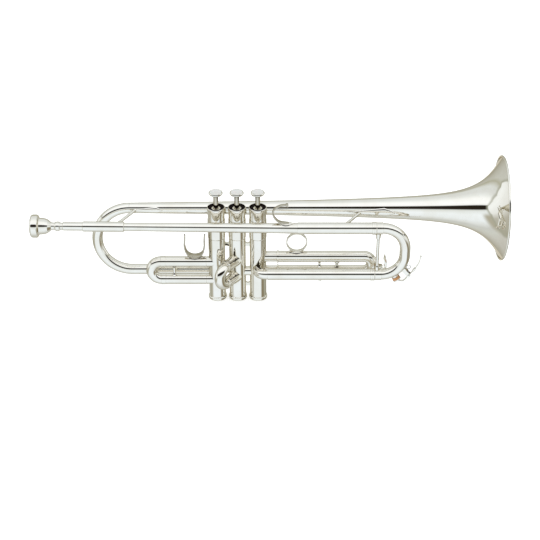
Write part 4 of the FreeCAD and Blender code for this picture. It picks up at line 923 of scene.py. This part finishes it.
def close_skins(bm, skins, long_steps, wide_steps):
    """Faces of a thin pad made of a lower and an upper grid of vertices."""
    for i in range(long_steps):
        for j in range(wide_steps):
            for level in (0, 1):
                bm.faces.new([skins[level, i, j], skins[level, i + 1, j], skins[level, i + 1, j + 1],
                              skins[level, i, j + 1]])
    for i in range(long_steps):
        for j in (0, wide_steps):
            bm.faces.new([skins[0, i, j], skins[0, i + 1, j], skins[1, i + 1, j], skins[1, i, j]])
    for j in range(wide_steps):
        for i in (0, long_steps):
            bm.faces.new([skins[0, i, j], skins[0, i, j + 1], skins[1, i, j + 1], skins[1, i, j]])


def finger_hook():
    """Little-finger hook: a curved strip with a rolled tip on a leaf-shaped foot."""
    y = SLIDE_START.y
    line = [(60.0, 112.0), (56.0, 112.4), (51.6, 112.9), (47.2, 115.0), (43.2, 119.8), (41.7, 125.2),
            (43.9, 130.5), (49.5, 134.3), (57.2, 135.6)]
    path = smooth_curve([(x, y, z) for x, z in line])
    blade = strip("hook_blade", path, [2.4, 3.2, 3.1, 2.7, 2.2, 1.9], 0.85, Y_AXIS)
    tip = Vector((57.7, y, 135.5))
    knob = wire("hook_knob", [tip - Y_AXIS * 1.6, tip, tip + Y_AXIS * 1.6], 1.5)
    foot = leaf("hook_foot", lead_point(56.5), LEAD_WAY, 19.0, 4.4, 6.15, (0.0, 1.0), 1.0)
    place(join("little_finger_hook", [blade, knob]), "horn", "silver_plate", "finger_hook")
    place(foot, "horn", "silver_plate", "finger_hook")


def thumb_saddle():
    """U-shaped thumb saddle with slender flared tips on a leaf-shaped foot."""
    low, high = corners("thumb_saddle")
    x = -50.1
    y = (low.y + high.y) / 2
    tube_z = corners("first_slide_tubes")[1].z - FIRST_SLEEVE_R
    floor = tube_z + 8.0
    tip = high.z - 0.4
    half = 11.6
    line = [(x - half + 0.4, tip), (x - half + 0.1, 80.0), (x - half - 0.1, 71.0), (x - 8.4, floor + 3.3),
            (x, floor), (x + 8.4, floor + 3.3), (x + half - 0.3, 71.0), (x + half - 0.1, 80.0),
            (x + half + 0.6, tip)]
    path = smooth_curve([(px, y, pz) for px, pz in line])
    blade = strip("thumb_saddle_blade", path, [1.0, 2.8, 4.5, 4.8, 4.8, 4.8, 4.5, 2.8, 1.0], 0.95, Y_AXIS)
    foot = leaf("saddle_foot", Vector((x, y, tube_z)), X_AXIS, 25.0, 4.6, 6.4, (0.0, 1.0), 0.9)
    place(blade, "first_slide", "silver_plate", "thumb_saddle")
    place(foot, "first_slide", "silver_plate", "thumb_saddle")


def finger_ring():
    """Round finger ring with softened edges on its pad."""
    centre = Vector((69.9, 0.0, corners("finger_ring")[1].z - RING_R))
    band = rounded([(-2.8, 11.7), (-2.3, 11.15), (2.3, 11.15), (2.8, 11.7), (2.2, RING_R), (-2.2, RING_R)],
                   0.5, steps=4)
    ring = lathe("ring_band", band, centre, Y_AXIS, 128, 60.0)
    tube_z = corners("third_slide_tubes")[1].z - THIRD_SLEEVE_R
    pad = leaf("ring_pad", Vector((69.3, 0.0, tube_z)), X_AXIS, 23.0, 4.2, 6.7, (0.0, 1.0), 0.9)
    place(join("ring_and_pad", [ring, pad]), "third_slide", "silver_plate", "finger_ring")


# ---- braces ------------------------------------------------------------------------------
def bell_leaf(name, tip_a, widest, tip_b, half_width):
    """A pointed leaf lying on the bell's leadpipe side, broadest at the brace's foot."""
    facing = -math.pi / 2
    long_steps, wide_steps = 48, 12
    bm = bmesh.new()
    skins = {}
    for i in range(long_steps + 1):
        x = tip_a + (tip_b - tip_a) * i / long_steps
        near = (x - tip_a) / (widest - tip_a) if x < widest else (tip_b - x) / (tip_b - widest)
        half = half_width * near ** 0.85 + 0.1
        tube_r = bell_radius(BELL_RIM_X - x)
        for j in range(wide_steps + 1):
            share = 2 * j / wide_steps - 1
            turn = facing + share * half / tube_r
            for level in (0, 1):
                rise = 0.1 + 0.7 * (1 - abs(share) ** 4) * min(1.0, near * 6)
                radius = tube_r - 0.1 + level * (0.1 + rise)
                spot = (x, BELL_AXIS.x + math.sin(turn) * radius, BELL_AXIS.y + math.cos(turn) * radius)
                skins[level, i, j] = bm.verts.new(Vector(spot) * MM)
    close_skins(bm, skins, long_steps, wide_steps)
    return add_object(name, bm, 50.0)


def flared_rod(name, start, end, radius, start_r, end_r):
    """A round brace rod whose two ends widen into the feet that it is soldered to."""
    span = end - start
    length = span.length
    outline = [(0.0, 0.0), (0.0, start_r), (1.0, start_r * 0.8), (2.4, radius * 1.1), (4.5, radius),
               (length - 4.5, radius), (length - 2.4, radius * 1.1), (length - 1.0, end_r * 0.8),
               (length, end_r), (length, 0.0)]
    return lathe(name, rounded(outline, 1.2), start, span, 48, 60.0)


def bell_braces():
    """The two slanted braces between leadpipe and bell with their leaf feet."""
    pieces = []
    slide_foot = Vector((120.0, *SLIDE_START.yz))
    for start, end_x, start_r, tips, half in ((lead_point(-141.3), -116.6, 5.9, (-125.5, -95.0, -87.0), 4.2),
                                              (slide_foot, 151.1, 6.8, (129.0, 172.0, 186.0), 5.6)):
        end = Vector((end_x, *BELL_AXIS))
        way = (end - start).normalized()
        bell_r = bell_radius(BELL_RIM_X - end_x)
        pieces.append(flared_rod("brace", start + way * start_r, end - way * (bell_r - 0.1), 1.75, 2.4, 2.4))
        pieces.append(bell_leaf("foot", *tips, half))
    foot_centre = Vector((123.0, *SLIDE_START.yz))
    pieces.append(leaf("pipe_foot", foot_centre, X_AXIS, 20.0, 3.6, 6.8, (1.0, 0.0), 0.8))
    place(join("bell_brace_rods", pieces), "horn", "silver_plate", "bell_braces")


def tuning_brace():
    """Turned upright between the tuning slide's ferrules."""
    x, y, _ = middle("tuning_slide_brace")
    base, top = (corner.z for corner in corners("tuning_slide_brace"))
    outline = [(base, 0.0), (base, 3.0), (base + 2.0, 3.0), (base + 5.0, 2.4), (base + 6.0, 1.8),
               (top - 8.6, 1.8), (top - 7.8, 2.4), (top - 2.0, 3.2), (top, 3.2), (top, 0.0)]
    obj = lathe("tuning_brace_rod", rounded(outline, 0.6), (x, y, 0.0), Z_AXIS, 64, 50.0)
    place(obj, "tuning_slide", "silver_plate", "tuning_slide_brace")


# ---- water keys --------------------------------------------------------------------------
def polar(centre, y, degrees, distance):
    """A point at a polar angle and distance from a bend's centre, in XZ."""
    angle = math.radians(degrees)
    return Vector((centre[0] + distance * math.cos(angle), y, centre[1] + distance * math.sin(angle)))


PIT_SCALE = 2600.0
PIT_DEPTH = 0.12 * MM


def cork_pad(name, body, base, axis, radius):
    """Cork pad with a worn edge and small pits."""
    outline = rounded([(0.0, 0.0), (0.0, radius), (axis.length, radius), (axis.length, 0.0)], 0.5, steps=4)
    dense = []
    for index, point in enumerate(outline[:-1]):
        after = outline[index + 1]
        parts = max(1, round((after - point).length / 0.35))
        dense += [point.lerp(after, part / parts) for part in range(parts)]
    obj = lathe(name, dense + [outline[-1]], base, axis, 96, 70.0)
    for vertex in obj.data.vertices:
        spot = vertex.co * PIT_SCALE
        pit = math.sin(spot.x + 1.7 * math.sin(spot.z)) * math.sin(spot.y * 1.3)
        pit *= math.sin(spot.z * 0.9 + spot.x)
        away = vertex.co / MM - base
        away -= axis.normalized() * away.dot(axis.normalized())
        vertex.co -= away.normalized() * max(pit, 0.0) * PIT_DEPTH
    place(obj, body, "cork", f"{body}_cork")


def main_water_key():
    """The tuning slide's water key: a lever with a wire touch that ends in a ball, and its cork."""
    low, high = corners("tuning_slide_crook")
    radius = (high.y - low.y) / 2
    centre = (low.x, low.z + radius + MAIN_BEND_R)
    pivot = joint_vector("water_key_hinge", "pos_m") / MM
    line = key_line(pivot, [(1.0, 0.2), (4.8, 4.6), (9.0, 10.8), (11.8, 17.2), (13.1, 23.9)])
    touch = [strip("touch", line, [1.2, 1.1, 1.0, 0.9, 0.8], 0.6, Y_AXIS),
             lathe("sleeve", rounded([(0.0, 0.0), (0.0, 1.4), (5.4, 1.4), (5.4, 0.0)], 0.3),
                   pivot + Vector((4.6, 0.0, 4.4)), Vector((3.1, 0.0, 4.4)), 40),
             ball("ball", pivot + Vector((13.1, 0.0, 24.6)), 1.2)]
    water_key("main_key_lever", "main_key_cork", "water_key", (centre, (high.y + low.y) / 2, -60.0),
              MAIN_BEND_R + radius, pivot, 4.6, [(-0.6, -0.8), (-3.0, -5.6), (-6.8, -8.6)], touch)


def third_water_key():
    """The third slide's water key: a lever with a pointed leaf for the finger, and its cork."""
    low, high = corners("third_slide_crook")
    centre = (low.x, (low.z + high.z) / 2)
    pivot = joint_vector("third_key_hinge", "pos_m") / MM
    line = key_line(pivot, [(0.6, -1.2), (2.8, -1.8), (5.4, -1.4)])
    touch = [strip("touch", line, [1.2, 1.2, 1.2], 0.7, Y_AXIS), standing_leaf(pivot)]
    water_key("third_key_leaf", "third_key_pad", "third_key", (centre, 0.0, -62.0),
              (high.z - low.z) / 2, pivot, 3.6, [(-0.6, -1.0), (-2.0, -7.4), (-4.8, -12.8)], touch)


def key_line(pivot, way):
    """A smooth line through points given as X and Z offsets from a hinge."""
    return smooth_curve([pivot + Vector((dx, 0.0, dz)) for dx, dz in way])


def ball(name, centre, radius):
    """A small turned ball."""
    turns = [math.pi * step / 16 for step in range(1, 16)]
    profile = [(-radius, 0.0), *((-math.cos(turn) * radius, math.sin(turn) * radius) for turn in turns),
               (radius, 0.0)]
    return lathe(name, profile, centre, Y_AXIS, 32, 80.0)


def standing_leaf(pivot):
    """The third slide key's pointed leaf, which stands in the key's own plane with a raised rib."""
    spine = [(5.0, -2.0, 1.1), (4.9, 2.0, 1.85), (4.9, 6.5, 1.95), (4.1, 11.5, 1.85), (3.7, 15.0, 1.15),
             (3.8, 18.6, 0.12)]
    steps, section = 40, 24
    rings = []
    bm = bmesh.new()
    for index in range(steps + 1):
        x, z, half = (part_way(row, index / steps) for row in zip(*spine))
        ring = []
        for step in range(section):
            turn = 2 * math.pi * step / section
            side = math.cos(turn)
            thick = 0.15 + 0.45 * (1 - abs(side)) * min(1.0, half)
            ring.append(bm.verts.new((pivot + Vector((x + side * half, math.sin(turn) * thick, z))) * MM))
        rings.append(ring)
    bridge_rings(bm, rings, closed=False)
    bm.faces.new(rings[0])
    bm.faces.new(rings[-1])
    return add_object("standing_leaf", bm, 40.0)


def water_key(lever_name, cork_name, body, spoke, reach, pivot, cup_r, pad_way, touch):
    """A water key's cork cup, pad arm, hinge barrel and finger touch in one piece, and its cork.

    spoke is the line that the pad lies on: the centre of the crook's bend, its Y and its angle.
    reach is the distance from that centre to the crook's outside.
    """
    cork_foot = polar(*spoke, reach + 1.0)
    cup_base = polar(*spoke, reach + 5.0)
    cup_back = polar(*spoke, reach + 6.1)
    cup = rounded([(0.0, 0.0), (-0.9, cup_r + 0.02), (-0.9, cup_r + 0.3), (0.6, cup_r + 0.3),
                   (1.1, cup_r - 0.4), (1.1, 0.0)], 0.3)
    barrel = rounded([(-3.2, 0.85), (-3.2, 1.8), (3.2, 1.8), (3.2, 0.85)], 0.3)
    pad_line = smooth_curve([pivot + Vector((dx, 0.0, dz)) for dx, dz in pad_way] + [cup_back])
    pieces = [lathe("cup", cup, cup_base, cup_back - cup_base, 64),
              lathe("barrel", barrel, pivot, Y_AXIS, 48),
              strip("pad_arm", pad_line, [1.5, 1.3, 1.5], 0.7, Y_AXIS)]
    place(join(lever_name, pieces + touch), body, "silver_plate", f"{body}_lever")
    cork_pad(cork_name, body, cork_foot, cup_base - cork_foot, cup_r)


def key_spring():
    """The main water key's wire spring: coils on the hinge and a loop against the crook."""
    pivot = joint_vector("water_key_hinge", "pos_m") / MM
    low, high = corners("water_key_spring")
    radius = 0.38
    y = (low.y + high.y) / 2
    loop_centre = Vector((200.6, y, high.z - 2.9))
    coil_r = 2.35
    loop_r = 2.5
    start = Vector((pivot.x, y - 0.9, pivot.z))
    coil = [start + Vector((math.cos(turn) * coil_r, turn * 0.13, math.sin(turn) * coil_r))
            for turn in [math.radians(90 + 10 * step) for step in range(73)]]
    loop = [loop_centre + Vector((math.cos(turn) * loop_r, 0.0, math.sin(turn) * loop_r))
            for turn in [math.radians(-110 + 10 * step) for step in range(35)]]
    pieces = [wire("coil", coil, radius, 14), wire("loop", loop, radius, 14),
              wire("link", [coil[-1], (coil[-1] + loop[0]) / 2, loop[0]], radius, 14)]
    place(join("main_key_wire_spring", pieces), "tuning_slide", "spring_steel", "water_key_spring")


BUILDERS = (bell_wall, bell_bow, crooks, second_crook, mouthpiece, top_caps, bottom_caps, felts,
            finger_buttons, finger_hook, thumb_saddle, finger_ring, bell_braces, tuning_brace,
            main_water_key, third_water_key, key_spring)
for build in BUILDERS:
    build()
make_camera()
make_world()
make_floor()
make_lights()
dress_cad_nodes()
bpy.context.scene.view_settings.view_transform = "Standard"
